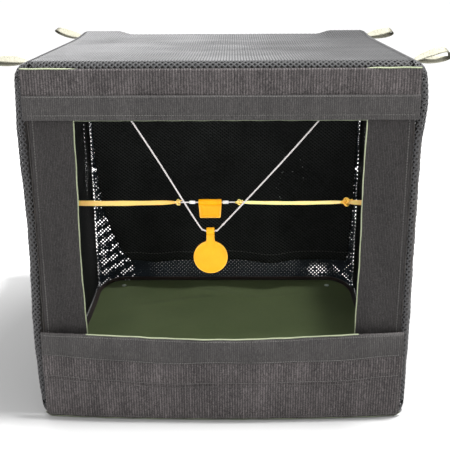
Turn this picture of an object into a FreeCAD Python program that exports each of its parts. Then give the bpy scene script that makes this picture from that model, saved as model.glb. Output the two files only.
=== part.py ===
import FreeCAD, Part
import math
import os
import Sketcher

from FreeCAD import Placement, Rotation, Vector

# A soft-sided, free-standing target catch box that pops open on spring-wire hoops.
# The box is a square tube of four hooped panels (floor, two sides, top) joined along four long
# seams, with a cloth frame around the front opening, a mesh back, a hanging rear curtain and two
# spinning paddles on cords inside the opening.
#
# Frame: +Z up, +X to the right as seen from the front, the opening faces -Y, and the origin is at
# the middle of the footprint on the ground. All sizes are millimetres.
#
# The four long seams are the hinge lines of the fold. Every layer of a panel lies outside the
# rectangle that the seams make, so the panels never meet as the box leans over and goes flat.

DRIVING_SIZES = {
    # the four seams and the panels between them
    "seam_half_width": 196.0,
    "floor_seam_height": 10.0,
    "top_seam_height": 380.0,
    "panel_depth": 360.0,
    "panel_end_gap": 0.3,
    "hoop_corner_radius": 40.0,
    "inner_layer_offset": 0.2,
    "hoop_offset": 5.0,
    "outer_layer_offset": 9.0,
    "cloth_thickness": 1.0,
    "binding_diameter": 7.0,
    "binding_bore": 3.0,
    "wire_diameter": 2.4,
    # the cloth frame round the front opening
    "front_half_width": 200.0,
    "opening_half_width": 148.0,
    "opening_bottom": 100.0,
    "opening_top": 336.0,
    "band_thickness": 1.2,
    "tape_thickness": 1.1,
    "side_band_face": 182.2,
    "top_band_face": 184.0,
    "top_tape_face": 185.4,
    "bottom_band_face": 187.0,
    "bottom_tape_face": 188.4,
    "top_tape_height": 24.5,
    "bottom_tape_height": 24.0,
    "piping_diameter": 2.0,
    "side_band_inset": 1.0,
    "side_band_end_gap": 4.0,
    "side_piping_end_gap": 2.0,
    "side_piping_gap": 0.2,
    "fold_tape_gap": 1.0,
    "piping_seam_gap": 0.4,
    "opening_piping_gap": 0.1,
    "opening_piping_end_gap": 1.0,
    "top_piping_end_gap": 2.0,
    "bottom_piping_end_gap": 4.0,
    # the mesh back, lapped at mid height
    "back_upper_face": 183.4,
    "back_lower_face": 185.4,
    "back_lap": 10.0,
    "back_foot": 1.0,
    # the rear curtain
    "curtain_width": 360.0,
    "header_width": 350.0,
    "curtain_bottom": 69.0,
    "curtain_top": 376.6,
    "curtain_back": 150.0,
    "curtain_thickness": 1.6,
    "header_gap": 1.0,
    # the elastic cross line
    "line_height": 239.5,
    "line_front": 150.0,
    "elastic_width": 5.8,
    "elastic_thickness": 1.2,
    "elastic_wall_gap": 18.0,
    "tail_diameter": 2.0,
    "tail_wall_gap": 6.5,
    "tail_overlap": 1.0,
    "line_cord_diameter": 1.8,
    "bead_diameter": 3.6,
    "bead_length": 6.6,
    "bead_room": 0.4,
    "bead_overrun": 1.0,
    "bead_left_gap": 3.5,
    "bead_right_gap": 1.0,
    "knot_left": -47.5,
    "knot_right": 18.5,
    "knot_end": 134.0,
    "knot_half_length": 4.0,
    "knot_half_height": 3.2,
    "knot_clearance": 0.3,
    # the rectangular paddle
    "square_centre": -12.5,
    "square_width": 25.0,
    "square_taper": 1.0,
    "square_drop": 17.5,
    "square_barrel": 6.8,
    "paddle_thickness": 3.0,
    "paddle_bore": 2.6,
    # the V cord and the round paddle
    "cord_front": 165.0,
    "cord_pivot_height": 374.0,
    "cord_left": -116.0,
    "cord_right": 133.0,
    "cord_diameter": 2.0,
    "cord_bend_radius": 8.0,
    "cord_bend_gap": 5.0,
    "cord_tie_gap": 1.0,
    "tie_diameter": 4.0,
    "tie_length": 9.0,
    "round_centre": -12.0,
    "round_bore_height": 211.5,
    "round_diameter": 37.0,
    "round_drop": 29.4,
    "neck_width": 8.6,
    "round_barrel": 8.0,
    "round_bore": 3.0,
    # the webbing loops at the top corners
    "loop_length": 30.0,
    "loop_height": 4.8,
    "loop_webbing": 1.2,
    "loop_width": 11.0,
    "loop_root": 203.6,
    "loop_level": 392.8,
    "loop_front": 155.0,
    "loop_rear": 158.0,
    # the two studs in the floor
    "stud_diameter": 7.0,
    "stud_height": 1.2,
    "stud_spread": 155.0,
    "stud_rear": 160.0,
}

doc = FreeCAD.newDocument("catch_box")
sheet = doc.addObject("Spreadsheet::Sheet", "Sizes")
for row, (alias, value) in enumerate(DRIVING_SIZES.items(), start=1):
    sheet.set(f"A{row}", alias)
    sheet.set(f"B{row}", str(value))
    sheet.setAlias(f"B{row}", alias)
doc.recompute()

nodes = []


def size(alias):
    """The value of one cell of the sheet."""
    return float(sheet.get(alias))


def cell(expression):
    """An expression over aliases, with each alias written as a reference to the sheet."""
    for alias in sorted(DRIVING_SIZES, key=len, reverse=True):
        expression = expression.replace(f"<{alias}>", f"Sizes.{alias}")
    return expression


def bind(thing, **expressions):
    """Bind properties to the sheet; a double underscore in a name stands for a dot."""
    for name, expression in expressions.items():
        thing.setExpression(name.replace("__", "."), cell(expression))


def keep(thing, label):
    """Register a document object as one named sub-part."""
    thing.Label = label
    nodes.append(thing)
    return thing


def place(thing, rotation=None, x="0", y="0", z="0"):
    """Turn a sub-part and bind its position to the sheet."""
    thing.Placement = Placement(Vector(), rotation or Rotation())
    bind(thing, Placement__Base__x=x, Placement__Base__y=y, Placement__Base__z=z)


# ---------------------------------------------------------------- sketches and solids


def new_body(label):
    """A PartDesign body that becomes one sub-part."""
    body = doc.addObject("PartDesign::Body", label + "_body")
    return keep(body, label)


def new_sketch(body, name, plane, shift=None):
    """A sketch on one of the body's own origin planes, shifted along the plane's normal."""
    sketch = body.newObject("Sketcher::SketchObject", name)
    support = [f for f in body.Origin.OriginFeatures if f.Role == plane][0]
    sketch.AttachmentSupport = [(support, "")]
    sketch.MapMode = "FlatFace"
    if shift:
        bind(sketch, AttachmentOffset__Base__z=shift)
    return sketch


def constrain(sketch, kind, *args, expression=None):
    """Add a constraint; a driving one takes its value from the sheet."""
    index = sketch.addConstraint(Sketcher.Constraint(kind, *args))
    if expression:
        sketch.setExpression(f"Constraints[{index}]", cell(expression))
    return index


def draw_circle(sketch, radius, diameter, x=None, y=None):
    """A circle of a bound diameter; x and y are (value, expression), or None for the origin."""
    centre = Vector(x[0] if x else 0.0, y[0] if y else 0.0, 0)
    ring = sketch.addGeometry(Part.Circle(centre, Vector(0, 0, 1), radius))
    constrain(sketch, "Diameter", ring, 2 * radius, expression=diameter)
    for kind, place_on_axis in (("DistanceX", x), ("DistanceY", y)):
        value = place_on_axis[0] if place_on_axis else 0.0
        expression = place_on_axis[1] if place_on_axis else None
        constrain(sketch, kind, -1, 1, ring, 3, value, expression=expression)
    return ring


def draw_rounded_rectangle(sketch, length, width, radius):
    """A rounded rectangle about the origin; each size is (value, expression).

    The first edge starts at the lower end of the right-hand side, where a pipe's profile sits.
    """
    half_x = length[0] / 2
    half_y = width[0] / 2
    r = radius[0]
    up = Vector(0, 0, 1)
    corners = [
        (half_x - r, half_y - r, 0, 90),
        (r - half_x, half_y - r, 90, 180),
        (r - half_x, r - half_y, 180, 270),
        (half_x - r, r - half_y, 270, 360),
    ]
    ends = [
        (Vector(half_x, r - half_y), Vector(half_x, half_y - r)),
        (Vector(half_x - r, half_y), Vector(r - half_x, half_y)),
        (Vector(-half_x, half_y - r), Vector(-half_x, r - half_y)),
        (Vector(r - half_x, -half_y), Vector(half_x - r, -half_y)),
    ]
    sides = []
    arcs = []
    for (start, end), (cx, cy, first, last) in zip(ends, corners):
        sides.append(sketch.addGeometry(Part.LineSegment(start, end)))
        circle = Part.Circle(Vector(cx, cy, 0), up, r)
        arc = Part.ArcOfCircle(circle, math.radians(first), math.radians(last))
        arcs.append(sketch.addGeometry(arc))
    for i in range(4):
        constrain(sketch, "Tangent", sides[i], 2, arcs[i], 1)
        constrain(sketch, "Tangent", arcs[i], 2, sides[(i + 1) % 4], 1)
        constrain(sketch, "Vertical" if i % 2 == 0 else "Horizontal", sides[i])
    for arc in arcs[1:]:
        constrain(sketch, "Equal", arcs[0], arc)
    constrain(sketch, "Symmetric", sides[0], 1, sides[2], 1, -1, 1)
    constrain(sketch, "Radius", arcs[0], r, expression=radius[1])
    constrain(sketch, "DistanceX", sides[2], 1, sides[0], 1, length[0], expression=length[1])
    constrain(sketch, "DistanceY", sides[3], 1, sides[1], 1, width[0], expression=width[1])


def pad(body, sketch, length, midplane=False, cut=False):
    """Pad a sketch, or pocket it, by a bound length."""
    kind = "Pocket" if cut else "Pad"
    feature = body.newObject(f"PartDesign::{kind}", f"{body.Name}_{kind}")
    feature.Profile = sketch
    feature.Midplane = midplane
    bind(feature, Length=length)
    return feature


def pipe(body, path, profile, cut=False):
    """Sweep a profile along all the edges of a path, adding or cutting."""
    kind = "SubtractivePipe" if cut else "AdditivePipe"
    feature = body.newObject(f"PartDesign::{kind}", f"{body.Name}_{kind}")
    feature.Profile = profile
    doc.recompute()
    feature.Spine = (path, [f"Edge{i + 1}" for i in range(len(path.Shape.Edges))])
    return feature


# ---------------------------------------------------------------- the four hooped panels

PANEL_WIDTH = {
    "across": "2 * (<seam_half_width> - <panel_end_gap>)",
    "upright": "<top_seam_height> - <floor_seam_height> - 2 * <panel_end_gap>",
}
PANEL_WIDTH_VALUE = {
    "across": 2 * (size("seam_half_width") - size("panel_end_gap")),
    "upright": size("top_seam_height") - size("floor_seam_height") - 2 * size("panel_end_gap"),
}
SIDE_MIDDLE = "(<top_seam_height> + <floor_seam_height>) / 2"
AXIS_Y = Vector(0, 1, 0)

# For each panel: its width, its turn, and its middle on the seam rectangle. Local +Z is outward.
PANELS = {
    "floor": ("across", Rotation(AXIS_Y, 180), "0", "<floor_seam_height>", (0, -1)),
    "top": ("across", Rotation(), "0", "<top_seam_height>", (0, 1)),
    "left": ("upright", Rotation(AXIS_Y, -90), "-<seam_half_width>", SIDE_MIDDLE, (-1, 0)),
    "right": ("upright", Rotation(AXIS_Y, 90), "<seam_half_width>", SIDE_MIDDLE, (1, 0)),
}


def place_on_panel(body, panel, offset):
    """Put a flat piece on a panel, a bound distance outside the seam rectangle."""
    _, turn, x, z, (out_x, out_z) = PANELS[panel]
    place(body, turn, x=f"{x} + ({out_x}) * {offset}", z=f"{z} + ({out_z}) * {offset}")


def cloth_layer(label, panel, offset):
    """One layer of cloth or mesh, the full size of a panel with rounded corners."""
    kind = PANELS[panel][0]
    body = new_body(label)
    outline = new_sketch(body, label + "_outline", "XY_Plane")
    draw_rounded_rectangle(
        outline,
        (PANEL_WIDTH_VALUE[kind], PANEL_WIDTH[kind]),
        (size("panel_depth"), "<panel_depth>"),
        (size("hoop_corner_radius"), "<hoop_corner_radius>"),
    )
    pad(body, outline, "<cloth_thickness>")
    place_on_panel(body, panel, offset)
    return body


def hoop(label, panel, diameter, bore=None):
    """A closed round hoop that follows the panel's edge; with a bore it is a tube."""
    kind = PANELS[panel][0]
    inset = size("binding_diameter")
    body = new_body(label)
    path = new_sketch(body, label + "_path", "XY_Plane")
    draw_rounded_rectangle(
        path,
        (PANEL_WIDTH_VALUE[kind] - inset, PANEL_WIDTH[kind] + " - <binding_diameter>"),
        (size("panel_depth") - inset, "<panel_depth> - <binding_diameter>"),
        (size("hoop_corner_radius") - inset / 2, "<hoop_corner_radius> - <binding_diameter> / 2"),
    )
    start = (
        (PANEL_WIDTH_VALUE[kind] - inset) / 2,
        f"({PANEL_WIDTH[kind]} - <binding_diameter>) / 2",
    )
    for suffix, alias in (("_section", diameter), ("_bore", bore)):
        if alias:
            section = new_sketch(
                body, label + suffix, "XZ_Plane", "<panel_depth> / 2 - <hoop_corner_radius>"
            )
            draw_circle(section, size(alias) / 2, f"<{alias}>", x=start)
            pipe(body, path, section, cut=(suffix == "_bore"))
    place_on_panel(body, panel, "<hoop_offset>")
    return body


for panel_name, inner_label, outer_label in (
    ("floor", "floor_cloth", "ground_sheet"),
    ("top", "top_lining", "top_mesh"),
    ("left", "left_inner_mesh", "left_outer_mesh"),
    ("right", "right_inner_mesh", "right_outer_mesh"),
):
    cloth_layer(inner_label, panel_name, "<inner_layer_offset>")
    cloth_layer(outer_label, panel_name, "<outer_layer_offset>")
    hoop(f"{panel_name}_wire", panel_name, "wire_diameter")
    hoop(f"{panel_name}_binding", panel_name, "binding_diameter", "binding_bore")


# ---------------------------------------------------------------- flat strips of cloth


def strip(label, x1, x2, y1, y2, z1, z2):
    """A flat strip of cloth between bound limits."""
    box = keep(doc.addObject("Part::Box", label + "_strip"), label)
    bind(box, Length=f"({x2}) - ({x1})", Width=f"({y2}) - ({y1})", Height=f"({z2}) - ({z1})")
    place(box, x=x1, y=y1, z=z1)
    return box


def rod(label, diameter, length, rotation, x, y, z):
    """A round rod of bound size whose axis starts at a bound point."""
    cylinder = doc.addObject("Part::Cylinder", label)
    bind(cylinder, Radius=f"{diameter} / 2", Height=length)
    place(cylinder, rotation, x=x, y=y, z=z)
    return cylinder


ALONG_X = Rotation(AXIS_Y, 90)
EDGE = "<piping_diameter>"

# The side bands run the full height behind the top and bottom bands.
for side, sign in (("left", "-1"), ("right", "1")):
    near = "<opening_half_width>"
    far = "(<seam_half_width> + <side_band_inset>)"
    limits = (f"-{far}", f"-{near}") if side == "left" else (near, far)
    strip(
        f"front_{side}_band",
        *limits,
        "-<side_band_face>",
        "-<side_band_face> + <band_thickness>",
        "<floor_seam_height> + <side_band_end_gap>",
        "<top_seam_height> - <side_band_end_gap>",
    )
    keep(
        rod(
            f"{side}_piping_rod",
            EDGE,
            "<opening_top> - <opening_bottom> - 2 * <side_piping_end_gap>",
            Rotation(),
            f"{sign} * (<opening_half_width> - {EDGE} / 2 - <side_piping_gap>)",
            f"-<side_band_face> + {EDGE} / 2",
            "<opening_bottom> + <side_piping_end_gap>",
        ),
        f"{side}_piping",
    )

strip(
    "front_top_band",
    "-<front_half_width>",
    "<front_half_width>",
    "-<top_band_face>",
    "-<top_band_face> + <band_thickness>",
    "<opening_top>",
    "<top_seam_height> + <outer_layer_offset>",
)
strip(
    "top_hem_tape",
    "-<front_half_width>",
    "<front_half_width>",
    "-<top_tape_face>",
    "-<top_tape_face> + <tape_thickness>",
    "<opening_top>",
    "<opening_top> + <top_tape_height>",
)
strip(
    "front_bottom_band",
    "-<front_half_width>",
    "<front_half_width>",
    "-<bottom_band_face>",
    "-<bottom_band_face> + <band_thickness>",
    "2 * <piping_diameter>",
    "<opening_bottom>",
)
strip(
    "bottom_hem_tape",
    "-<front_half_width>",
    "<front_half_width>",
    "-<bottom_tape_face>",
    "-<bottom_tape_face> + <tape_thickness>",
    "<opening_bottom> - <bottom_tape_height>",
    "<opening_bottom>",
)
strip(
    "bottom_fold_tape",
    "-<front_half_width>",
    "<front_half_width>",
    "-<bottom_tape_face>",
    "-<bottom_tape_face> + <tape_thickness>",
    "<opening_bottom> - 2 * <bottom_tape_height> - <fold_tape_gap>",
    "<opening_bottom> - <bottom_tape_height> - <fold_tape_gap>",
)


def level_piping(label, half_length, y, z):
    """A corded edge that runs across the front."""
    keep(rod(label + "_rod", EDGE, f"2 * ({half_length})", ALONG_X, f"-({half_length})", y, z), label)


TOP_PIPING_Y = "-<top_band_face> + <band_thickness> / 2"
BOTTOM_PIPING_Y = "-<bottom_band_face> + <piping_seam_gap>"
OPENING_EDGE = "<opening_half_width> - <opening_piping_end_gap>"
level_piping(
    "top_seam_piping",
    "<front_half_width> - <top_piping_end_gap>",
    TOP_PIPING_Y,
    f"<top_seam_height> + <outer_layer_offset> + {EDGE} / 2 + <piping_seam_gap>",
)
level_piping(
    "opening_top_piping",
    OPENING_EDGE,
    TOP_PIPING_Y,
    f"<opening_top> - {EDGE} / 2 - <opening_piping_gap>",
)
level_piping(
    "opening_bottom_piping",
    OPENING_EDGE,
    BOTTOM_PIPING_Y,
    f"<opening_bottom> + {EDGE} / 2 + <opening_piping_gap>",
)
level_piping(
    "bottom_piping",
    "<front_half_width> - <bottom_piping_end_gap>",
    BOTTOM_PIPING_Y,
    f"{EDGE} / 2 + <piping_seam_gap>",
)

strip(
    "back_mesh_upper",
    "-<front_half_width>",
    "<front_half_width>",
    "<back_upper_face> - <cloth_thickness>",
    "<back_upper_face>",
    f"{SIDE_MIDDLE} - <back_lap> / 2",
    "<top_seam_height> + <outer_layer_offset>",
)
strip(
    "back_mesh_lower",
    "-<front_half_width>",
    "<front_half_width>",
    "<back_lower_face> - <cloth_thickness>",
    "<back_lower_face>",
    "<back_foot>",
    f"{SIDE_MIDDLE} + <back_lap> / 2",
)
# The header stops short of the right side, where the folded side panel closes on the top.
strip(
    "curtain_header",
    "-<header_width> / 2",
    "<header_width> / 2",
    "<curtain_back> - <curtain_thickness>",
    "<curtain_back> + <curtain_thickness>",
    "<curtain_top> + <header_gap>",
    "<top_seam_height>",
)
strip(
    "curtain",
    "-<curtain_width> / 2",
    "<curtain_width> / 2",
    "<curtain_back> - <curtain_thickness> / 2",
    "<curtain_back> + <curtain_thickness> / 2",
    "<curtain_bottom>",
    "<curtain_top>",
)


# ---------------------------------------------------------------- groups of like pieces


def group(label, pieces):
    """Several separate solids that share one sub-part."""
    compound = doc.addObject("Part::Compound", label + "_group")
    compound.Links = pieces
    return keep(compound, label)


def knot(name):
    """A tied knot on the cross line, as an egg-shaped lump."""
    lump = doc.addObject("Part::Ellipsoid", name + "_lump")
    bind(lump, Radius1="<knot_half_height>", Radius2="<knot_half_length>", Radius3="<knot_half_height>")
    place(lump, x=f"<{name}>", y="-<line_front>", z="<line_height>")
    return lump


group(
    "floor_studs",
    [
        rod(
            f"stud_{side}",
            "<stud_diameter>",
            "<stud_height>",
            Rotation(),
            f"{sign} * <stud_spread>",
            "<stud_rear>",
            "<floor_seam_height>",
        )
        for side, sign in (("left", "-1"), ("right", "1"))
    ],
)

# ---------------------------------------------------------------- the elastic cross line

KNOT_REACH = "(<knot_half_length> + <knot_clearance>)"

group("line_knots", [knot(name) for name in ("knot_left", "knot_right", "knot_end")])


def elastic_piece(name, x1, x2):
    """A length of flat elastic on edge, its wide side facing the front."""
    band = doc.addObject("Part::Box", name)
    bind(band, Length=f"({x2}) - ({x1})", Width="<elastic_thickness>", Height="<elastic_width>")
    place(
        band,
        x=x1,
        y="-<line_front> - <elastic_thickness> / 2",
        z="<line_height> - <elastic_width> / 2",
    )
    return band


def elastic_tail(name, x1):
    """The drawn-in end of the elastic that runs to the wall."""
    return rod(
        name,
        "<tail_diameter>",
        "<elastic_wall_gap> - <tail_wall_gap> + <tail_overlap>",
        ALONG_X,
        x1,
        "-<line_front>",
        "<line_height>",
    )


def fused(name, pieces):
    """One solid from overlapping pieces."""
    result = doc.addObject("Part::MultiFuse", name)
    result.Shapes = pieces
    return result


keep(
    fused(
        "elastic_left_fuse",
        [
            elastic_piece(
                "elastic_left_band",
                "-<seam_half_width> + <elastic_wall_gap>",
                f"<knot_left> - {KNOT_REACH}",
            ),
            elastic_tail("elastic_left_tail", "-<seam_half_width> + <tail_wall_gap>"),
        ],
    ),
    "elastic_left",
)
keep(
    elastic_piece(
        "elastic_middle_band", f"<knot_right> + {KNOT_REACH}", f"<knot_end> - {KNOT_REACH}"
    ),
    "elastic_right",
)
keep(
    fused(
        "elastic_end_fuse",
        [
            elastic_piece(
                "elastic_end_band",
                f"<knot_end> + {KNOT_REACH}",
                "<seam_half_width> - <elastic_wall_gap>",
            ),
            elastic_tail(
                "elastic_end_tail",
                "<seam_half_width> - <elastic_wall_gap> - <tail_overlap>",
            ),
        ],
    ),
    "elastic_end",
)
keep(
    rod(
        "line_cord_rod",
        "<line_cord_diameter>",
        f"<knot_right> - <knot_left> - 2 * {KNOT_REACH}",
        ALONG_X,
        f"<knot_left> + {KNOT_REACH}",
        "-<line_front>",
        "<line_height>",
    ),
    "line_cord",
)


def bead(name, x):
    """A short tube threaded on the cord."""
    outer = rod(
        f"{name}_outer",
        "<bead_diameter>",
        "<bead_length>",
        ALONG_X,
        x,
        "-<line_front>",
        "<line_height>",
    )
    inner = rod(
        f"{name}_inner",
        "(<line_cord_diameter> + <bead_room>)",
        "<bead_length> + 2 * <bead_overrun>",
        ALONG_X,
        f"{x} - <bead_overrun>",
        "-<line_front>",
        "<line_height>",
    )
    tube = doc.addObject("Part::Cut", name)
    tube.Base = outer
    tube.Tool = inner
    return tube


group(
    "cord_beads",
    [
        bead("bead_left", "<square_centre> - <square_width> / 2 - <bead_length> - <bead_left_gap>"),
        bead("bead_right", "<square_centre> + <square_width> / 2 + <bead_right_gap>"),
    ],
)

# ---------------------------------------------------------------- the two paddles


def barrel_and_bore(body, label, barrel, length, bore):
    """The round barrel along a paddle's top edge, with its bore along X at the origin."""
    ring = new_sketch(body, label + "_barrel", "YZ_Plane")
    draw_circle(ring, size(barrel) / 2, f"<{barrel}>")
    pad(body, ring, length, midplane=True)
    doc.recompute()
    hole = new_sketch(body, label + "_hole", "YZ_Plane")
    draw_circle(hole, size(bore) / 2, f"<{bore}>")
    cut = pad(body, hole, f"2 * ({length})", midplane=True, cut=True)
    return cut


def square_paddle():
    """A rectangular plate, a little narrower at the bottom, hung from a barrel."""
    body = new_body("square_paddle")
    plate = new_sketch(body, "square_plate", "XZ_Plane")
    half_top = size("square_width") / 2
    half_bottom = half_top - size("square_taper")
    drop = size("square_drop")
    points = [
        Vector(-half_top, 0, 0),
        Vector(half_top, 0, 0),
        Vector(half_bottom, -drop, 0),
        Vector(-half_bottom, -drop, 0),
    ]
    lines = []
    for start, end in zip(points, points[1:] + points[:1]):
        lines.append(plate.addGeometry(Part.LineSegment(start, end)))
    for first, second in zip(lines, lines[1:] + lines[:1]):
        constrain(plate, "Coincident", first, 2, second, 1)
    constrain(plate, "Symmetric", lines[0], 1, lines[0], 2, -1, 1)
    constrain(plate, "Horizontal", lines[0])
    constrain(plate, "Symmetric", lines[2], 1, lines[2], 2, -2)
    constrain(plate, "DistanceX", lines[0], 1, lines[0], 2, 2 * half_top, expression="<square_width>")
    constrain(
        plate,
        "DistanceX",
        lines[2],
        2,
        lines[2],
        1,
        2 * half_bottom,
        expression="<square_width> - 2 * <square_taper>",
    )
    constrain(plate, "DistanceY", lines[1], 2, lines[1], 1, drop, expression="<square_drop>")
    pad(body, plate, "<paddle_thickness>", midplane=True)
    barrel_and_bore(body, "square", "square_barrel", "<square_width>", "paddle_bore")
    place(body, x="<square_centre>", y="-<line_front>", z="<line_height>")


def round_paddle():
    """A disc on a short neck, hung from a barrel."""
    body = new_body("round_paddle")
    neck = new_sketch(body, "round_neck", "XZ_Plane")
    half = size("neck_width") / 2
    drop = size("round_drop")
    points = [
        Vector(-half, 0, 0),
        Vector(half, 0, 0),
        Vector(half, -drop, 0),
        Vector(-half, -drop, 0),
    ]
    lines = []
    for start, end in zip(points, points[1:] + points[:1]):
        lines.append(neck.addGeometry(Part.LineSegment(start, end)))
    for index, (first, second) in enumerate(zip(lines, lines[1:] + lines[:1])):
        constrain(neck, "Coincident", first, 2, second, 1)
        constrain(neck, "Horizontal" if index % 2 == 0 else "Vertical", first)
    constrain(neck, "Symmetric", lines[0], 1, lines[0], 2, -1, 1)
    constrain(neck, "DistanceX", lines[0], 1, lines[0], 2, 2 * half, expression="<neck_width>")
    constrain(neck, "DistanceY", lines[1], 2, lines[1], 1, drop, expression="<round_drop>")
    pad(body, neck, "<paddle_thickness>", midplane=True)
    doc.recompute()
    disc = new_sketch(body, "round_disc", "XZ_Plane")
    draw_circle(disc, size("round_diameter") / 2, "<round_diameter>", y=(-drop, "-<round_drop>"))
    pad(body, disc, "<paddle_thickness>", midplane=True)
    barrel_and_bore(body, "round", "round_barrel", "<neck_width>", "round_bore")
    place(body, x="<round_centre>", y="-<cord_front>", z="<round_bore_height>")


square_paddle()
round_paddle()

# ---------------------------------------------------------------- the V cord


def v_cord():
    """One cord from the left tie, through the round paddle's barrel, to the right tie."""
    body = new_body("v_cord")
    path = new_sketch(body, "v_cord_path", "XZ_Plane")
    bore = size("round_bore_height")
    top = size("cord_pivot_height") - size("tie_length") / 2 - size("cord_tie_gap")
    half_bend = size("neck_width") / 2 + size("cord_bend_gap")
    left_end = Vector(size("cord_left"), top, 0)
    right_end = Vector(size("cord_right"), top, 0)
    left_bend = Vector(size("round_centre") - half_bend, bore, 0)
    right_bend = Vector(size("round_centre") + half_bend, bore, 0)
    radius = size("cord_bend_radius")

    def rounded_corner(before, corner, after):
        """The two tangent points and the arc that rounds a corner of the path."""
        to_before = (before - corner).normalize()
        to_after = (after - corner).normalize()
        half_angle = to_before.getAngle(to_after) / 2
        reach = radius / math.tan(half_angle)
        first = corner + to_before * reach
        last = corner + to_after * reach
        middle_way = (to_before + to_after).normalize()
        centre = corner + middle_way * (radius / math.sin(half_angle))
        middle = centre - middle_way * radius
        return first, middle, last

    first_a, middle_a, last_a = rounded_corner(left_end, left_bend, right_bend)
    first_b, middle_b, last_b = rounded_corner(left_bend, right_bend, right_end)
    edges = [
        Part.LineSegment(left_end, first_a),
        Part.Arc(first_a, middle_a, last_a),
        Part.LineSegment(last_a, first_b),
        Part.Arc(first_b, middle_b, last_b),
        Part.LineSegment(last_b, right_end),
    ]
    ids = [path.addGeometry(edge) for edge in edges]
    arc_start = {}
    for index in (1, 3):
        start_point = path.getPoint(ids[index], 1)
        before = path.getPoint(ids[index - 1], 2)
        arc_start[index] = 1 if start_point.distanceToPoint(before) < 0.01 else 2
    for index in (1, 3):
        start = arc_start[index]
        constrain(path, "Tangent", ids[index - 1], 2, ids[index], start)
        constrain(path, "Tangent", ids[index], 3 - start, ids[index + 1], 1)
    constrain(path, "Equal", ids[1], ids[3])
    constrain(path, "Horizontal", ids[2])
    constrain(path, "Radius", ids[1], radius, expression="<cord_bend_radius>")
    constrain(path, "DistanceX", -1, 1, ids[0], 1, left_end.x, expression="<cord_left>")
    constrain(path, "DistanceX", -1, 1, ids[4], 2, right_end.x, expression="<cord_right>")
    cord_top = "<cord_pivot_height> - <tie_length> / 2 - <cord_tie_gap>"
    constrain(path, "DistanceY", -1, 1, ids[0], 1, top, expression=cord_top)
    constrain(path, "DistanceY", -1, 1, ids[4], 2, top, expression=cord_top)
    constrain(path, "DistanceY", -1, 1, ids[2], 1, bore, expression="<round_bore_height>")
    constrain(path, "DistanceX", -1, 1, ids[2], 1, last_a.x)
    constrain(path, "DistanceX", -1, 1, ids[2], 2, first_b.x)
    doc.recompute()
    section = body.newObject("Sketcher::SketchObject", "v_cord_section")
    section.AttachmentSupport = [(path, "Edge1")]
    section.MapMode = "NormalToEdge"
    section.MapPathParameter = 0.0
    draw_circle(section, size("cord_diameter") / 2, "<cord_diameter>")
    pipe(body, path, section)
    place(body, y="-<cord_front>")


v_cord()
group(
    "cord_ties",
    [
        rod(
            f"tie_{side}",
            "<tie_diameter>",
            "<tie_length>",
            Rotation(),
            f"<cord_{side}>",
            "-<cord_front>",
            "<cord_pivot_height> - <tie_length> / 2",
        )
        for side in ("left", "right")
    ],
)

# ---------------------------------------------------------------- the webbing loops


def draw_slot(sketch, length, height, indent):
    """A slot along X whose outer end is a bound distance from the origin."""
    radius = height[0] / 2
    near = Vector(indent[0] + radius, 0, 0)
    far = Vector(indent[0] + length[0] - radius, 0, 0)
    up = Vector(0, 0, 1)
    rise = Vector(0, radius, 0)
    lower = sketch.addGeometry(Part.LineSegment(near - rise, far - rise))
    tip = sketch.addGeometry(
        Part.ArcOfCircle(Part.Circle(far, up, radius), -math.pi / 2, math.pi / 2)
    )
    upper = sketch.addGeometry(Part.LineSegment(far + rise, near + rise))
    root = sketch.addGeometry(
        Part.ArcOfCircle(Part.Circle(near, up, radius), math.pi / 2, 3 * math.pi / 2)
    )
    chain = [lower, tip, upper, root]
    for first, second in zip(chain, chain[1:] + chain[:1]):
        constrain(sketch, "Tangent", first, 2, second, 1)
    constrain(sketch, "Horizontal", lower)
    constrain(sketch, "Radius", tip, radius, expression=f"({height[1]}) / 2")
    constrain(sketch, "DistanceY", -1, 1, root, 3, 0.0)
    constrain(
        sketch, "DistanceX", -1, 1, root, 3, near.x, expression=f"{indent[1]} + ({height[1]}) / 2"
    )
    constrain(
        sketch,
        "DistanceX",
        root,
        3,
        tip,
        3,
        far.x - near.x,
        expression=f"({length[1]}) - ({height[1]})",
    )


def hang_loop(label, turn, x_sign, y):
    """A closed loop of webbing that points outward from a top corner."""
    body = new_body(label)
    outline = new_sketch(body, label + "_outline", "XZ_Plane")
    webbing = size("loop_webbing")
    draw_slot(
        outline,
        (size("loop_length"), "<loop_length>"),
        (size("loop_height"), "<loop_height>"),
        (0.0, "0"),
    )
    draw_slot(
        outline,
        (size("loop_length") - 2 * webbing, "<loop_length> - 2 * <loop_webbing>"),
        (size("loop_height") - 2 * webbing, "<loop_height> - 2 * <loop_webbing>"),
        (webbing, "<loop_webbing>"),
    )
    pad(body, outline, "<loop_width>", midplane=True)
    place(body, turn, x=f"{x_sign} * <loop_root>", y=y, z="<loop_level>")


HALF_TURN = Rotation(Vector(0, 0, 1), 180)
for depth_name, depth in (("front", "-<loop_front>"), ("rear", "<loop_rear>")):
    hang_loop(f"hang_loop_{depth_name}_left", HALF_TURN, "-1", depth)
    hang_loop(f"hang_loop_{depth_name}_right", Rotation(), "1", depth)

# ---------------------------------------------------------------- check and write

doc.recompute()
for item in doc.Objects:
    for flag in ("Invalid", "Error"):
        if flag in item.State:
            raise RuntimeError(f"{item.Label} is {flag}: {item.State}")
for node in nodes:
    if node.Shape.isNull():
        raise RuntimeError(f"{node.Label} has no shape")
    if not node.Shape.isValid():
        raise RuntimeError(f"{node.Label} isn't a valid shape")

os.makedirs("parts", exist_ok=True)
for node in nodes:
    node.Shape.exportStep(f"parts/{node.Label}.step")
    box = node.Shape.BoundBox
    low = f"{box.XMin:8.1f} {box.YMin:8.1f} {box.ZMin:8.1f}"
    high = f"{box.XMax:8.1f} {box.YMax:8.1f} {box.ZMax:8.1f}"
    print(f"{node.Label:24s} {len(node.Shape.Solids)} solids {node.Shape.Volume:11.1f} mm3 {low} {high}")
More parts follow.
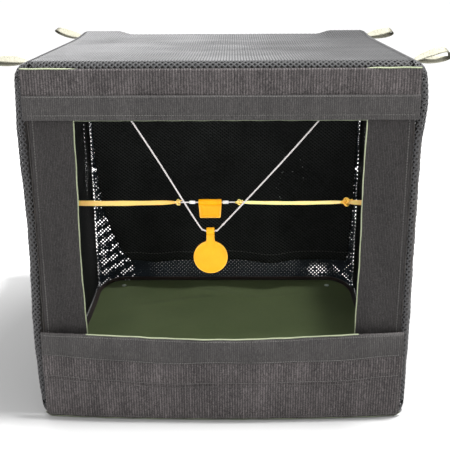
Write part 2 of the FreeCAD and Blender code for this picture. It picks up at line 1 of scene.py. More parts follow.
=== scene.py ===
import math

import bpy
import numpy as np
from mathutils import Matrix, Vector


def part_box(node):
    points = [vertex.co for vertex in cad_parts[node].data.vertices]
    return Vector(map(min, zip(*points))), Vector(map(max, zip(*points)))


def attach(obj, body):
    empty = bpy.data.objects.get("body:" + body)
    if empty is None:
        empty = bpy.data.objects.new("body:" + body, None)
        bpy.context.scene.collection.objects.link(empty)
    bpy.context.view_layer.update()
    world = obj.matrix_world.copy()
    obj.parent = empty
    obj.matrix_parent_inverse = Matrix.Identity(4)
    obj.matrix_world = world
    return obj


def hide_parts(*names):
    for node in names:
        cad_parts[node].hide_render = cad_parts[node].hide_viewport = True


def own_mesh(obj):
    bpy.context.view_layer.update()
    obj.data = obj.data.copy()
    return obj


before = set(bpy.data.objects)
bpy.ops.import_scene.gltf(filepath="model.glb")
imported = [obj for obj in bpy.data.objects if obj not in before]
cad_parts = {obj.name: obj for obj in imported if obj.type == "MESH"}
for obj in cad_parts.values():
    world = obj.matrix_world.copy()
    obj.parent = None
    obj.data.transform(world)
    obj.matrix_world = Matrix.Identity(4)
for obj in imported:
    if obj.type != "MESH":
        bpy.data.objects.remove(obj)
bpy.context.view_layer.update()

# The looks of a soft-sided pop-up catch box: knitted nets, ribbed webbing bands, a green cloth
# floor, cords and paddles. Every length is in metres, in the frame of the CAD model.

MM = 0.001


def low(node):
    return np.array(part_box(node)[0])


def high(node):
    return np.array(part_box(node)[1])


# Places read from the frame.
FRONT_HALF = high("front_top_band")[0]
OPEN_HALF = high("front_left_band")[0] * -1
OPEN_TOP = low("front_top_band")[2]
OPEN_BOTTOM = high("front_bottom_band")[2]
SIDE_FACE = low("front_left_band")[1]
TOP_BAND_FACE = low("front_top_band")[1]
TOP_TAPE_FACE = low("top_hem_tape")[1]
BOTTOM_BAND_FACE = low("front_bottom_band")[1]
BOTTOM_TAPE_FACE = low("bottom_hem_tape")[1]
TOP_TAPE_EDGE = high("top_hem_tape")[2]
HEM_TAPE_EDGE = low("bottom_hem_tape")[2]
FOLD_TAPE_EDGE = low("bottom_fold_tape")[2]
SIDE_OUT = high("right_outer_mesh")[0]
TOP_OUT = high("top_mesh")[2]
DEPTH_HALF = high("top_mesh")[1]
TOP_HALF = high("top_mesh")[0]
BACK_FACE = high("back_mesh_upper")[1]
BACK_MIDDLE = (low("back_mesh_upper")[2] + high("back_mesh_lower")[2]) / 2
FLOOR_TOP = high("floor_cloth")[2]
FLOOR_SEAM = FLOOR_TOP + 0.2 * MM
TOP_SEAM = low("top_lining")[2] - 0.2 * MM
LINE_Y = low("line_cord")[1] + 0.9 * MM
LINE_Z = low("line_cord")[2] + 0.9 * MM
CORD_Y = low("v_cord")[1] + 1.0 * MM

# How far the bottom band bows out in the middle.
BOTTOM_BOW = 9.5 * MM

SIDES = (("left", -1), ("right", 1))
UP = (0, 0, 1)
SIDEWAYS = (1, 0, 0)


# ---------------------------------------------------------------- mesh helpers

# A part is a pair of arrays: points, and quads that index them. A piece is a list of parts.


def add_object(name, parts):
    starts = np.cumsum([0] + [len(points) for points, _ in parts])
    points = np.vstack([points for points, _ in parts])
    quads = np.vstack([quads + start for (_, quads), start in zip(parts, starts)])
    mesh = bpy.data.meshes.new(name)
    mesh.vertices.add(len(points))
    mesh.vertices.foreach_set("co", points.astype(np.float32).ravel())
    mesh.loops.add(len(quads) * 4)
    mesh.loops.foreach_set("vertex_index", quads.astype(np.int32).ravel())
    mesh.polygons.add(len(quads))
    mesh.polygons.foreach_set("loop_start", np.arange(0, len(quads) * 4, 4, dtype=np.int32))
    mesh.update(calc_edges=True)
    mesh.polygons.foreach_set("use_smooth", np.full(len(mesh.polygons), True))
    mesh.validate()
    obj = bpy.data.objects.new(name, mesh)
    bpy.context.scene.collection.objects.link(obj)
    return obj


def piece(name, parts, material, body, stands_for=(), squash=None):
    """One visible piece that rides on a body; with squash, it gets a mesh of its own."""
    obj = add_object(name, parts)
    obj.data.materials.append(material)
    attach(obj, body)
    if squash:
        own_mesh(obj)
    if stands_for:
        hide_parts(*stands_for)
    return obj


def normals_of(points):
    """Unit normals of a (columns, rows, 3) grid of points."""
    across = np.gradient(points, axis=0)
    along = np.gradient(points, axis=1)
    normal = np.cross(across, along)
    return normal / np.maximum(np.linalg.norm(normal, axis=2, keepdims=True), 1e-12)


def slab(points, thickness):
    """A closed sheet: two faces either side of a grid of points, and the rim between them."""
    columns, rows, _ = points.shape
    offset = normals_of(points) * np.reshape(thickness, np.shape(thickness) + (1,)) / 2
    both = np.concatenate([(points + offset).reshape(-1, 3), (points - offset).reshape(-1, 3)])
    far = columns * rows
    index = np.arange(far).reshape(columns, rows)
    corners = [index[:-1, :-1], index[1:, :-1], index[1:, 1:], index[:-1, 1:]]
    front = np.stack([c.ravel() for c in corners], 1)
    rim = np.concatenate([index[:-1, 0], index[-1, :-1], index[:0:-1, -1], index[0, :0:-1]])
    after = np.roll(rim, -1)
    edge = np.stack([rim + far, after + far, after, rim], 1)
    return both, np.concatenate([front, front[:, ::-1] + far, edge])


def frames_along(path, closed=False):
    """Two steady side directions at each point of a path."""
    if closed:
        tangents = np.roll(path, -1, 0) - np.roll(path, 1, 0)
    else:
        tangents = np.gradient(path, axis=0)
    tangents /= np.linalg.norm(tangents, axis=1, keepdims=True)
    first = np.cross(tangents[0], UP)
    if np.linalg.norm(first) < 0.1:
        first = np.cross(tangents[0], SIDEWAYS)
    sides = [first / np.linalg.norm(first)]
    for tangent in tangents[1:]:
        side = sides[-1] - tangent * np.dot(sides[-1], tangent)
        sides.append(side / np.linalg.norm(side))
    sides = np.array(sides)
    return sides, np.cross(tangents, sides)


def lengths_along(path):
    """The distance from the start of a path to each of its points."""
    steps = np.linalg.norm(np.diff(path, axis=0), axis=1)
    return np.concatenate([[0], np.cumsum(steps)])


def circle(around):
    """The cosines and sines of evenly spaced angles round a circle."""
    angles = np.arange(around) * 2 * math.pi / around
    return np.cos(angles), np.sin(angles)


def ring_quads(count, around, closed=False):
    """The indices of a row of rings, and the quads between neighbouring rings."""
    index = np.arange(count * around).reshape(count, around)
    here = index if closed else index[:-1]
    there = np.roll(index, -1, 0) if closed else index[1:]
    quads = np.stack([here, there, np.roll(there, -1, 1), np.roll(here, -1, 1)], 2)
    return index, quads.reshape(-1, 4)


def flipped(quads):
    """The same quads, facing the other way."""
    return quads[:, [0, 3, 2, 1]]


def across_ring(ring):
    """Quads straight across the inside of a ring."""
    half = len(ring) // 2
    return np.array([[ring[k], ring[k + 1], ring[-k - 2], ring[-k - 1]] for k in range(half - 1)])


def tube(path, radius, around=8, closed=False, flatten=1.0):
    """A round or flattened tube along a path; radius may vary along it."""
    path = np.asarray(path, float)
    side, up = frames_along(path, closed)
    radius = np.broadcast_to(radius, (len(path),))[:, None]
    cosines, sines = circle(around)
    out = side[:, None] * (cosines * radius)[..., None]
    rings = path[:, None] + out + up[:, None] * (sines * radius * flatten)[..., None]
    index, quads = ring_quads(len(path), around, closed)
    points = rings.reshape(-1, 3)
    if closed:
        return points, quads
    points, caps = cap_rings(points, index[0], index[-1])
    return points, np.concatenate([quads, caps])


def cap_rings(points, first, last):
    """Close both ends of a tube with a small inner ring and quads across it."""
    quads = []
    count = len(points)
    extra = []
    for ring, flip in ((first, False), (last, True)):
        centre = points[ring].mean(0)
        extra.append(centre + (points[ring] - centre) * 0.45)
        ids = count + np.arange(len(ring))
        count += len(ring)
        strip = np.stack([ring, np.roll(ring, -1), np.roll(ids, -1), ids], 1)
        both = np.concatenate([strip, across_ring(ids)])
        quads.append(both[:, ::-1] if flip else both)
    return np.concatenate([points, *extra]), np.concatenate(quads)


def rounded_outline(half_x, half_y, radius, step=3 * MM):
    """Points round a rounded rectangle in plan."""
    arcs = []
    for quarter, (sx, sy) in enumerate(((1, 1), (-1, 1), (-1, -1), (1, -1))):
        centre = np.array([sx * (half_x - radius), sy * (half_y - radius)])
        turns = np.linspace(0, math.pi / 2, 14) + quarter * math.pi / 2
        arcs.append(centre + radius * np.stack([np.cos(turns), np.sin(turns)], 1))
    points = []
    for arc, following in zip(arcs, arcs[1:] + arcs[:1]):
        start, end = arc[-1], following[0]
        count = max(2, int(np.linalg.norm(end - start) / step))
        points += [arc, start + (end - start) * np.arange(1, count)[:, None] / count]
    return np.concatenate(points)


def run(x, y, z):
    """Points from coordinates of which some are arrays and some are numbers."""
    return np.stack(np.broadcast_arrays(x, y, z), -1)


def unit(value):
    """A value held between 0 and 1."""
    return np.clip(value, 0, 1)


def ripple(values, *waves):
    """A sum of sines: each wave is (length, height, phase)."""
    total = np.zeros_like(values, dtype=float)
    for length, height, phase in waves:
        total += height * np.sin(2 * math.pi * values / length + phase)
    return total


# ---------------------------------------------------------------- knitted nets


CELL_SIDES = ((1, 0), (0, 1), (-1, 0), (0, -1))


def steps_over(ends, pitch):
    """How many half meshes fit in a range, and the size of each."""
    count = max(2, int(round((ends[1] - ends[0]) / (pitch / 2))))
    return count, (ends[1] - ends[0]) / count


def mesh_places(steps_u, steps_v):
    """The grid places of the meshes: every second one, as on a chess board."""
    i, j = np.meshgrid(np.arange(1, steps_u), np.arange(1, steps_v), indexing="ij")
    odd = (i + j) % 2 == 1
    return i[odd], j[odd]


def both_sides(mapping, u, v, half):
    """The points at (u, v), moved out by half a thickness on either side of the surface."""
    centre = mapping(u, v)
    tiny = 0.05 * MM
    normal = np.cross(mapping(u + tiny, v) - centre, mapping(u, v + tiny) - centre)
    normal /= np.maximum(np.linalg.norm(normal, axis=1, keepdims=True), 1e-12)
    return np.concatenate([centre + normal * half[:, None], centre - normal * half[:, None]])


def net(mapping, u_range, v_range, pitch, hole, thickness=1.1 * MM):
    """A knitted net of diamond meshes as one closed solid.

    mapping turns arrays of u and v into points. hole is the size of a hole beside its mesh, a
    number or a function of u and v. The knots and strands are thick along their middle and thin
    at the holes, so that each strand catches the light like a thread.
    """
    steps_u, size_u = steps_over(u_range, pitch[0])
    steps_v, size_v = steps_over(v_range, pitch[1])

    def place(i, j):
        return u_range[0] + i * size_u, v_range[0] + j * size_v

    i, j = mesh_places(steps_u, steps_v)
    count = len(i)
    width = steps_u + 1
    used, outer = np.unique(np.stack([(i + a) + (j + b) * width for a, b in CELL_SIDES], 1),
                            return_inverse=True)
    outer = outer.reshape(count, 4)
    knot_u, knot_v = place(used % width, used // width)
    share = hole(*place(i, j)) if callable(hole) else hole
    hole_u, hole_v = place(np.stack([i + a * share for a, _ in CELL_SIDES], 1),
                           np.stack([j + b * share for _, b in CELL_SIDES], 1))
    u = np.concatenate([knot_u, hole_u.ravel()])
    v = np.concatenate([knot_v, hole_v.ravel()])
    half = np.concatenate([np.full(len(used), 0.5), np.full(count * 4, 0.2)]) * thickness
    total = len(u)
    inner = len(used) + np.arange(count * 4).reshape(count, 4)
    next_outer = np.roll(outer, -1, 1)
    next_inner = np.roll(inner, -1, 1)
    front = np.stack([outer, next_outer, next_inner, inner], 2).reshape(-1, 4)
    back = front[:, ::-1] + total
    wall = np.stack([inner, next_inner, next_inner + total, inner + total], 2).reshape(-1, 4)
    rim = rim_quads(outer, next_outer, total)
    return both_sides(mapping, u, v, half), np.concatenate([front, back, wall, rim])


def rim_quads(start, end, total):
    """Quads that close the outer rim of a net, along every edge that only one mesh has."""
    pairs = np.stack([start.ravel(), end.ravel()], 1)
    keys = pairs.min(1) * (total + 1) + pairs.max(1)
    _, first, counts = np.unique(keys, return_index=True, return_counts=True)
    lone = pairs[first[counts == 1]]
    return np.stack([lone[:, 1], lone[:, 0], lone[:, 0] + total, lone[:, 1] + total], 1)


# The outer skin is one outline in the XZ plane, swept back along Y and rolled in at both ends.
CORNER = 15 * MM
SKIN_SIDE = SIDE_OUT - 0.3 * MM
SKIN_TOP = TOP_OUT + 2.6 * MM
SKIN_FOOT = FLOOR_SEAM + 3 * MM
UPRIGHT = SKIN_TOP - CORNER - SKIN_FOOT
ARC = CORNER * math.pi / 2
ACROSS = 2 * (SKIN_SIDE - CORNER)

# At the front and the back the net rolls over its hoop and runs on flat for a little way.
ROLL = 9 * MM
ROLL_TURN = math.radians(80)
ROLL_FLAT = 4 * MM
ROLL_START = DEPTH_HALF - 7.8 * MM
SKIN_END = ROLL_START + ROLL * ROLL_TURN + ROLL_FLAT

# Where each stretch of the outline ends, measured along it from the left foot.
LEFT_END = UPRIGHT
LEFT_CORNER_END = LEFT_END + ARC
TOP_END = LEFT_CORNER_END + ACROSS
RIGHT_CORNER_END = TOP_END + ARC
RIGHT_END = RIGHT_CORNER_END + UPRIGHT


def skin_outline(s):
    """Points and outward normals of the outline in XZ, at distances s from the left foot."""
    s = np.asarray(s, float)
    mirrored = s > (LEFT_CORNER_END + TOP_END) / 2
    d = np.where(mirrored, RIGHT_END - s, s)
    turn = np.clip((d - LEFT_END) / CORNER, 0, math.pi / 2)
    x = -SKIN_SIDE + CORNER - CORNER * np.cos(turn) + np.clip(d - LEFT_CORNER_END, 0, None)
    z = SKIN_FOOT + np.minimum(d, UPRIGHT) + CORNER * np.sin(turn)
    sign = np.where(mirrored, -1, 1)
    return sign * x, z, -sign * np.cos(turn), np.sin(turn)


def roll_over(t):
    """Y and the inward shift of the skin at a distance t from the middle of the box."""
    past = np.clip(np.abs(t) - ROLL_START, 0, None)
    turned = np.minimum(past / ROLL, ROLL_TURN)
    flat = np.clip(past - ROLL * ROLL_TURN, 0, None)
    y = np.minimum(np.abs(t), ROLL_START) + ROLL * np.sin(turned) + flat * math.cos(ROLL_TURN)
    return np.sign(t) * y, ROLL * (1 - np.cos(turned)) + flat * math.sin(ROLL_TURN)


def hump(value, centre, reach):
    """A smooth rise that is 1 at the centre and dies away on both sides."""
    return np.exp(-(((value - centre) / reach) ** 2))


# Bulges of the slack side nets: how far out in millimetres, at what height, and how tall.
LEFT_BULGES = ((4.0, 315 * MM, 62 * MM), (4.2, 100 * MM, 70 * MM), (0.6, 210 * MM, 50 * MM))
RIGHT_BULGES = ((4.6, 350 * MM, 26 * MM), (0.6, 110 * MM, 40 * MM))


def side_swell(x, z):
    """How far the slack outer net stands out at a height; the left side is the slacker one."""
    left, right = (sum(out * hump(z, height, reach) for out, height, reach in bulges)
                   for bulges in (LEFT_BULGES, RIGHT_BULGES))
    waves = ripple(z, (41 * MM, 0.2, 1.9), (23 * MM, 0.1, 0.4))
    held = unit((z - SKIN_FOOT) / (15 * MM))
    return (np.where(x < 0, left, right) + waves) * held * MM


def top_swell(x, y):
    """The slack of the top net: low in the middle and along its rear edge between the corners."""
    hang = unit((1 - (x / TOP_HALF) ** 2) * (1 - (y / DEPTH_HALF) ** 2))
    waves = ripple(x + 0.4 * y, (120 * MM, 0.7, 0.8)) + ripple(y, (75 * MM, 0.5, 2.0))
    corner = unit((np.abs(x) - 128 * MM) / (22 * MM))
    corner = corner**2 * (3 - 2 * corner)
    rear = unit((y - 60 * MM) / (100 * MM)) ** 2
    return (-2.6 * hang + waves * hang + (4.6 * corner - 0.2) * rear) * MM


def skin(s, t):
    """A point of the outer skin, s along the outline and t from front to back."""
    x, z, out_x, out_z = skin_outline(s)
    y, inward = roll_over(t)
    middle = 0.85 + 0.15 * unit(1 - (t / ROLL_START) ** 2)
    swell = np.abs(out_x) ** 4 * side_swell(x, z) * middle
    swell = swell + unit(out_z) ** 8 * top_swell(x, y)
    reach = swell - inward
    return np.stack([x + out_x * reach, y, z + out_z * reach], -1)


def skin_net(name, s_range, pitch, hole, material, body, stands_for=(), squash=None):
    parts = [net(skin, s_range, (-SKIN_END, SKIN_END), pitch, hole)]
    piece(name, parts, material, body, stands_for, squash)


# ---------------------------------------------------------------- materials

SHADER_INPUTS = {
    "sheen": "Sheen Weight",
    "sheen_roughness": "Sheen Roughness",
    "specular": "Specular IOR Level",
    "scatter": "Subsurface Weight",
    "scatter_reach": "Subsurface Radius",
    "metallic": "Metallic",
}


class Look:
    """A procedural material while it is built, with short ways to add and join nodes."""

    def __init__(self, name):
        self.material = bpy.data.materials.new(name)
        self.material.use_nodes = True
        self.tree = self.material.node_tree
        self.shader = self.tree.nodes["Principled BSDF"]
        self.place = self.tree.nodes.new("ShaderNodeTexCoord").outputs["Object"]

    def put(self, socket, value):
        """Link a socket to another node's output, or set it to a number or colour."""
        if isinstance(value, bpy.types.NodeSocket):
            self.tree.links.new(value, socket)
        else:
            socket.default_value = value

    def node(self, kind, inputs, output=0, **settings):
        node = self.tree.nodes.new("ShaderNode" + kind)
        for name, value in settings.items():
            setattr(node, name, value)
        for name, value in inputs.items():
            self.put(node.inputs[name], value)
        return node.outputs[output]

    def math(self, operation, a, b=0.5):
        return self.node("Math", {0: a, 1: b}, operation=operation)

    def add(self, total, *others):
        for value in others:
            total = self.math("ADD", total, value)
        return total

    def times(self, a, b):
        return self.math("MULTIPLY", a, b)

    def noise(self, scale, detail=3.0, roughness=0.6, stretch=(1, 1, 1)):
        vector = self.node("Mapping", {"Vector": self.place, "Scale": stretch})
        inputs = {"Vector": vector, "Scale": scale, "Detail": detail, "Roughness": roughness}
        return self.node("TexNoise", inputs, "Fac")

    def scaled(self, value, start, end, to_start=0.0, to_end=1.0):
        """A value carried from one range to another and held at its ends."""
        inputs = {"From Min": start, "From Max": end, "To Min": to_start, "To Max": to_end}
        return self.node("MapRange", {"Value": value, **inputs}, "Result")

    def ramp(self, value, stops):
        """A colour ramp; each stop is (position, linear colour)."""
        node = self.tree.nodes.new("ShaderNodeValToRGB")
        elements = node.color_ramp.elements
        while len(elements) < len(stops):
            elements.new(0.5)
        for element, (position, colour) in zip(elements, stops):
            element.position = position
            element.color = (*colour, 1)
        self.put(node.inputs["Fac"], value)
        return node.outputs["Color"]

    def along(self, axis):
        return self.node("SeparateXYZ", {0: self.place}, axis)

    def wave(self, value, pitch):
        """A sine with one half wave in each pitch."""
        return self.math("SINE", self.times(value, math.pi / pitch))

    def weave(self, axes, pitch):
        """The height of a plain weave: threads along two axes, each passing over and under."""
        first, second = (self.wave(self.along(axis), pitch) for axis in axes)
        return self.times(first, second)

    def finish(self, colour, roughness, height=None, depth=0.0, **others):
        """Join colour, roughness and bumps to the shader, and set its other inputs."""
        inputs = self.shader.inputs
        self.put(inputs["Base Color"], colour)
        self.put(inputs["Roughness"], roughness)
        for name, value in others.items():
            inputs[SHADER_INPUTS[name]].default_value = value
        if height is not None:
            bumps = {"Strength": 1.0, "Distance": depth, "Height": height}
            self.put(inputs["Normal"], self.node("Bump", bumps))
        return self.material


def between(dark, light, share):
    return tuple(a + (b - a) * share for a, b in zip(dark, light))


def fabric(name, dark, light, axes, pitch, roughness=0.85, sheen=0.15, depth=0.12 * MM,
           patch=14.0, fleck=900.0):
    """Woven cloth: a plain weave, soft patches of tone, and flecks of lighter thread."""
    look = Look(name)
    crossing = look.weave(axes, pitch)
    patches = look.noise(patch, 4.0)
    flecks = look.noise(fleck, 2.0, 0.7)
    tone = look.add(look.times(patches, 0.55), look.times(flecks, 0.35),
                    look.times(crossing, 0.10))
    colour = look.ramp(tone, [(0.28, dark), (0.46, between(dark, light, 0.5)), (0.66, light)])
    rough = look.scaled(patches, 0.3, 0.7, roughness - 0.08, roughness + 0.08)
    height = look.add(crossing, look.times(flecks, 0.6))
    return look.finish(colour, rough, height, depth, sheen=sheen, sheen_roughness=0.5)


def ribbed(name, pitch, painted_groove_shade, ridge):
    """Ribbed webbing: upright ribs, each yarn a little lighter or darker along its length. The grooves
    between the ribs are painted dark as shade; the ridges carry the yarn's colour.
    """
    look = Look(name)
    rib = look.math("ABSOLUTE", look.wave(look.along("X"), pitch))
    yarns = look.noise(1.0, 2.0, 0.8, stretch=(1 / pitch, 0.0, 140.0))
    patches = look.noise(1.0, 3.0, 0.65, stretch=(38.0, 0.0, 9.0))
    flecks = look.noise(900.0, 2.0, 0.7)
    tone = look.times(rib, look.scaled(yarns, 0.35, 0.65, 0.35, 1.0))
    tone = look.add(look.times(tone, 0.40), look.times(look.scaled(patches, 0.3, 0.7), 0.20),
                    look.times(look.scaled(flecks, 0.3, 0.7), 0.40))
    # Painted shade: the colour runs from the dark groove colour between the ribs to the yarn's colour
    # on the ridges.
    colour = look.ramp(tone, [(0.10, painted_groove_shade), (0.48, between(painted_groove_shade, ridge, 0.38)), (0.86, ridge)])
    rough = look.scaled(patches, 0.3, 0.7, 0.78, 0.95)
    height = look.add(rib, look.times(flecks, 0.8))
    return look.finish(colour, rough, height, 0.14 * MM, sheen=0.02, specular=0.2)


def lattice(name, dark, light, pitch=4.6 * MM):
    """Thin dark cloth with a fine crossing texture, and a few bright specks painted in as light seen
    through the weave.
    """
    look = Look(name)
    waves = []
    for operation in ("ADD", "SUBTRACT"):
        slant = look.math(operation, look.along("Z"), look.times(look.along("X"), 0.8))
        waves.append(look.scaled(look.wave(slant, pitch / 2), -0.4, 1.0))
    crossing = look.math("MAXIMUM", waves[0], look.times(waves[1], 0.7))
    patches = look.noise(11.0, 4.0)
    flecks = look.noise(420.0, 3.0, 0.75)
    # Painted light: rare specks, up to twelve times brighter than the cloth's light colour, stand in
    # for light seen through the cloth.
    painted_light_specks = look.scaled(look.noise(300.0, 2.0, 0.8), 0.69, 0.73)
    where = look.scaled(look.noise(17.0, 2.0), 0.60, 0.68, 0.0, 1.5)
    tone = look.add(look.times(crossing, look.scaled(patches, 0.35, 0.65, 0.25, 0.75)),
                    look.times(look.scaled(flecks, 0.35, 0.7), 0.3), look.times(painted_light_specks, where))
    white = tuple(12 * c for c in light)
    colour = look.ramp(look.times(tone, 0.6),
                       [(0.06, dark), (0.57, light), (0.62, light), (0.96, white)])
    rough = look.scaled(patches, 0.3, 0.7, 0.75, 0.9)
    return look.finish(colour, rough, look.add(crossing, flecks), 0.2 * MM, specular=0.2)


def strap(name, dark, light):
    """Pale loop webbing, with painted shade darkening it where it turns round at its outer end."""
    look = Look(name)
    loop_end = high("hang_loop_front_right")[0]
    out = look.math("ABSOLUTE", look.along("X"))
    # Painted shade: the webbing darkens over the last 8 mm before the loop's outer end.
    end = look.scaled(out, loop_end - 8.1 * MM, loop_end - 0.1 * MM, 0.0, 0.75)
    crossing = look.weave("XY", 0.9 * MM)
    flecks = look.noise(900.0, 2.0, 0.7)
    tone = look.add(look.times(crossing, 0.25), look.times(look.scaled(flecks, 0.3, 0.7), 0.75), 0.15)
    colour = look.ramp(look.math("SUBTRACT", tone, end), [(0.0, dark), (0.55, light)])
    rough = look.scaled(flecks, 0.3, 0.7, 0.75, 0.9)
    return look.finish(colour, rough, look.add(crossing, flecks), 0.14 * MM, specular=0.2)


def top_tone(look, tone, column):
    """The tone of the top net: upright rows, a painted light gradient from pale at the left to dark at
    the right, and dark at the rolled edges.
    """
    rows = look.math("ABSOLUTE", look.wave(look.along("X"), column))
    # Painted light: the tone falls from 1.28 at the left to 0.46 at the right.
    painted_light_gradient = look.scaled(look.along("X"), -160 * MM, 190 * MM, 1.28, 0.46)
    rolled = look.scaled(look.math("ABSOLUTE", look.along("Y")), 166 * MM, 172 * MM, 1.0, 0.45)
    for factor in (look.scaled(rows, 0.0, 1.0, 0.35, 1.35), painted_light_gradient, rolled):
        tone = look.times(tone, factor)
    return tone


def knit(name, dark, light, roughness=0.6, sheen=0.1, specular=0.5, column=None):
    """Twisted net yarn: fine twist lines and uneven tone. With column, the look of the top net."""
    look = Look(name)
    inputs = {"Vector": look.place, "Scale": 420.0, "Distortion": 3.0}
    twist = look.node("TexWave", inputs, "Fac", bands_direction="DIAGONAL")
    patches = look.noise(11.0)
    tone = look.add(look.times(patches, 0.7), look.times(twist, 0.3))
    if column:
        tone = top_tone(look, tone, column)
    colour = look.ramp(tone, [(0.3, dark), (0.7, light)])
    rough = look.scaled(patches, 0.3, 0.7, roughness - 0.1, roughness + 0.1)
    return look.finish(colour, rough, twist, 0.08 * MM, sheen=sheen, specular=specular)


def plastic(name, colour, edge_colour, roughness=0.35, scatter=0.15):
    """Moulded plastic: faint clouding, fine scuffs and slightly translucent edges."""
    look = Look(name)
    scuffs = look.noise(700.0, 4.0, 0.75)
    clouds = look.ramp(look.noise(60.0), [(0.35, edge_colour), (0.62, colour)])
    rough = look.scaled(scuffs, 0.3, 0.7, roughness - 0.07, roughness + 0.14)
    return look.finish(clouds, rough, scuffs, 0.02 * MM, scatter=scatter,
                       scatter_reach=(0.004, 0.002, 0.0005), specular=0.2)


def latex(name, start, end, *colours):
    """Stretched latex whose colour runs from one end of a length along X to the other."""
    look = Look(name)
    streaks = look.noise(220.0)
    along = look.add(look.scaled(look.along("X"), start, end), look.times(streaks, 0.06))
    rough = look.scaled(streaks, 0.3, 0.7, 0.32, 0.5)
    return look.finish(look.ramp(along, colours), rough, streaks, 0.05 * MM, scatter=0.35,
                       scatter_reach=(0.003, 0.0015, 0.0004))


def metal(name, colour, roughness):
    look = Look(name)
    streaks = look.noise(500.0, 4.0)
    tone = look.ramp(streaks, [(0.35, tuple(c * 0.75 for c in colour)), (0.65, colour)])
    return look.finish(tone, look.scaled(streaks, 0.3, 0.7, roughness, roughness + 0.2), metallic=1.0)


# The first colour of each webbing is painted shade in the grooves between its ribs; the second is the
# yarn's colour on the ridges.
webbing = ribbed("ribbed_webbing", 2.8 * MM, (0.002, 0.002, 0.002), (0.175, 0.157, 0.157))
hem_webbing = ribbed("hem_webbing", 2.1 * MM, (0.026, 0.025, 0.025), (0.102, 0.096, 0.094))
side_weave = ribbed("side_weave", 1.7 * MM, (0.012, 0.011, 0.011), (0.062, 0.058, 0.057))
green_cloth = fabric("green_cloth", (0.110, 0.150, 0.058), (0.195, 0.250, 0.108), "XY", 0.55 * MM,
                     0.7, 0.05, 0.05 * MM, 9.0, 620.0)
ground_cloth = fabric("ground_cloth", (0.030, 0.040, 0.020), (0.060, 0.075, 0.038), "XY", 0.6 * MM,
                      0.75, depth=0.05 * MM)
curtain_cloth = lattice("curtain_cloth", (0.0045, 0.005, 0.005), (0.050, 0.054, 0.052))
rear_binding = fabric("rear_binding", (0.020, 0.012, 0.010), (0.060, 0.040, 0.034), "XY", 0.7 * MM,
                      0.8, fleck=1100.0)
binding_cloth = fabric("binding_cloth", (0.010, 0.008, 0.007), (0.034, 0.027, 0.023), "XY", 0.7 * MM,
                       0.8, fleck=1100.0)
piping_cloth = fabric("green_piping", (0.22, 0.26, 0.15), (0.46, 0.50, 0.34), "XZ", 0.5 * MM,
                      0.75, 0.1, fleck=1300.0)
# A darker copy of the green piping: painted shade for the piping under the opening's top edge and
# along the front's foot.
painted_shade_piping = fabric("painted_shade_piping", (0.07, 0.085, 0.05), (0.20, 0.23, 0.15), "XZ", 0.5 * MM,
                     0.8, 0.05, fleck=1300.0)
loop_webbing = strap("olive_webbing", (0.060, 0.056, 0.040), (0.36, 0.35, 0.28))
outer_yarn = knit("outer_net_yarn", (0.010, 0.010, 0.011), (0.034, 0.033, 0.035))
# The top net is the same black yarn as the outer net, painted much lighter as a painted sheen from the
# light grazing across it.
top_yarn_painted_sheen = knit("top_net_yarn", (0.018, 0.018, 0.019), (0.160, 0.160, 0.163), specular=0.3,
                column=ACROSS / 65 / 2)
inner_yarn = knit("inner_net_yarn", (0.003, 0.0035, 0.0035), (0.010, 0.011, 0.011), 0.7, 0.02, 0.3)
back_yarn = knit("back_net_yarn", (0.010, 0.017, 0.026), (0.030, 0.048, 0.070), 0.6, 0.05, 0.4)
thread = knit("stitch_thread", (0.055, 0.054, 0.052), (0.21, 0.205, 0.195), 0.7, 0.02, 0.2)
cord_yarn = knit("white_cord", (0.62, 0.58, 0.57), (0.92, 0.88, 0.87), sheen=0.2)
orange = plastic("orange_round", (0.95, 0.44, 0.010), (0.92, 0.40, 0.006), scatter=0.0)
# The rim's lighter, yellower orange is a painted highlight along the paddles' raised rims.
orange_rim_painted_highlight = plastic("orange_rim_painted_highlight", (1.0, 0.52, 0.07), (1.0, 0.45, 0.03), 0.4, 0.1)
orange_square = plastic("orange_square", (0.96, 0.42, 0.0), (0.92, 0.37, 0.0), scatter=0.0)
white_plastic = plastic("white_bead", (0.85, 0.85, 0.83), (0.72, 0.72, 0.70), 0.25)
pale_stud = plastic("pale_stud", (0.80, 0.84, 0.74), (0.62, 0.66, 0.56), 0.3)
steel = metal("spring_steel", (0.55, 0.56, 0.58), 0.25)
left_latex = latex("latex_left", -196 * MM, -45 * MM, (0.0, (0.85, 0.50, 0.10)),
                   (0.5, (0.95, 0.66, 0.20)), (1.0, (0.90, 0.55, 0.12)))
right_latex = latex("latex_right", 10 * MM, 196 * MM, (0.0, (1.0, 0.84, 0.38)),
                    (0.6, (1.0, 0.78, 0.30)), (1.0, (0.90, 0.42, 0.08)))
knot_latex = latex("latex_knots", -50 * MM, 130 * MM, (0.0, (0.95, 0.66, 0.22)),
                   (0.5, (0.98, 0.72, 0.24)), (1.0, (0.92, 0.53, 0.08)))


# ---------------------------------------------------------------- outer and inner nets

NET_PITCH = (6.2 * MM, 5.9 * MM)
HOOP_FACE = high("right_binding")[0]


def towards(x, keep):
    """A squash setting: sideways towards x, with the share to keep."""
    return SIDEWAYS, (x, 0, 0), keep


def outer_nets(side, sign, wall_range, corner_range, shoulder_flat):
    skin_net(f"{side}_outer_net", wall_range, NET_PITCH, 0.5, outer_yarn, f"{side}_side",
             [f"{side}_outer_mesh"], towards(sign * HOOP_FACE, 0.15))
    skin_net(f"{side}_shoulder_net", corner_range, NET_PITCH, 0.5, outer_yarn, f"{side}_side",
             squash=shoulder_flat)


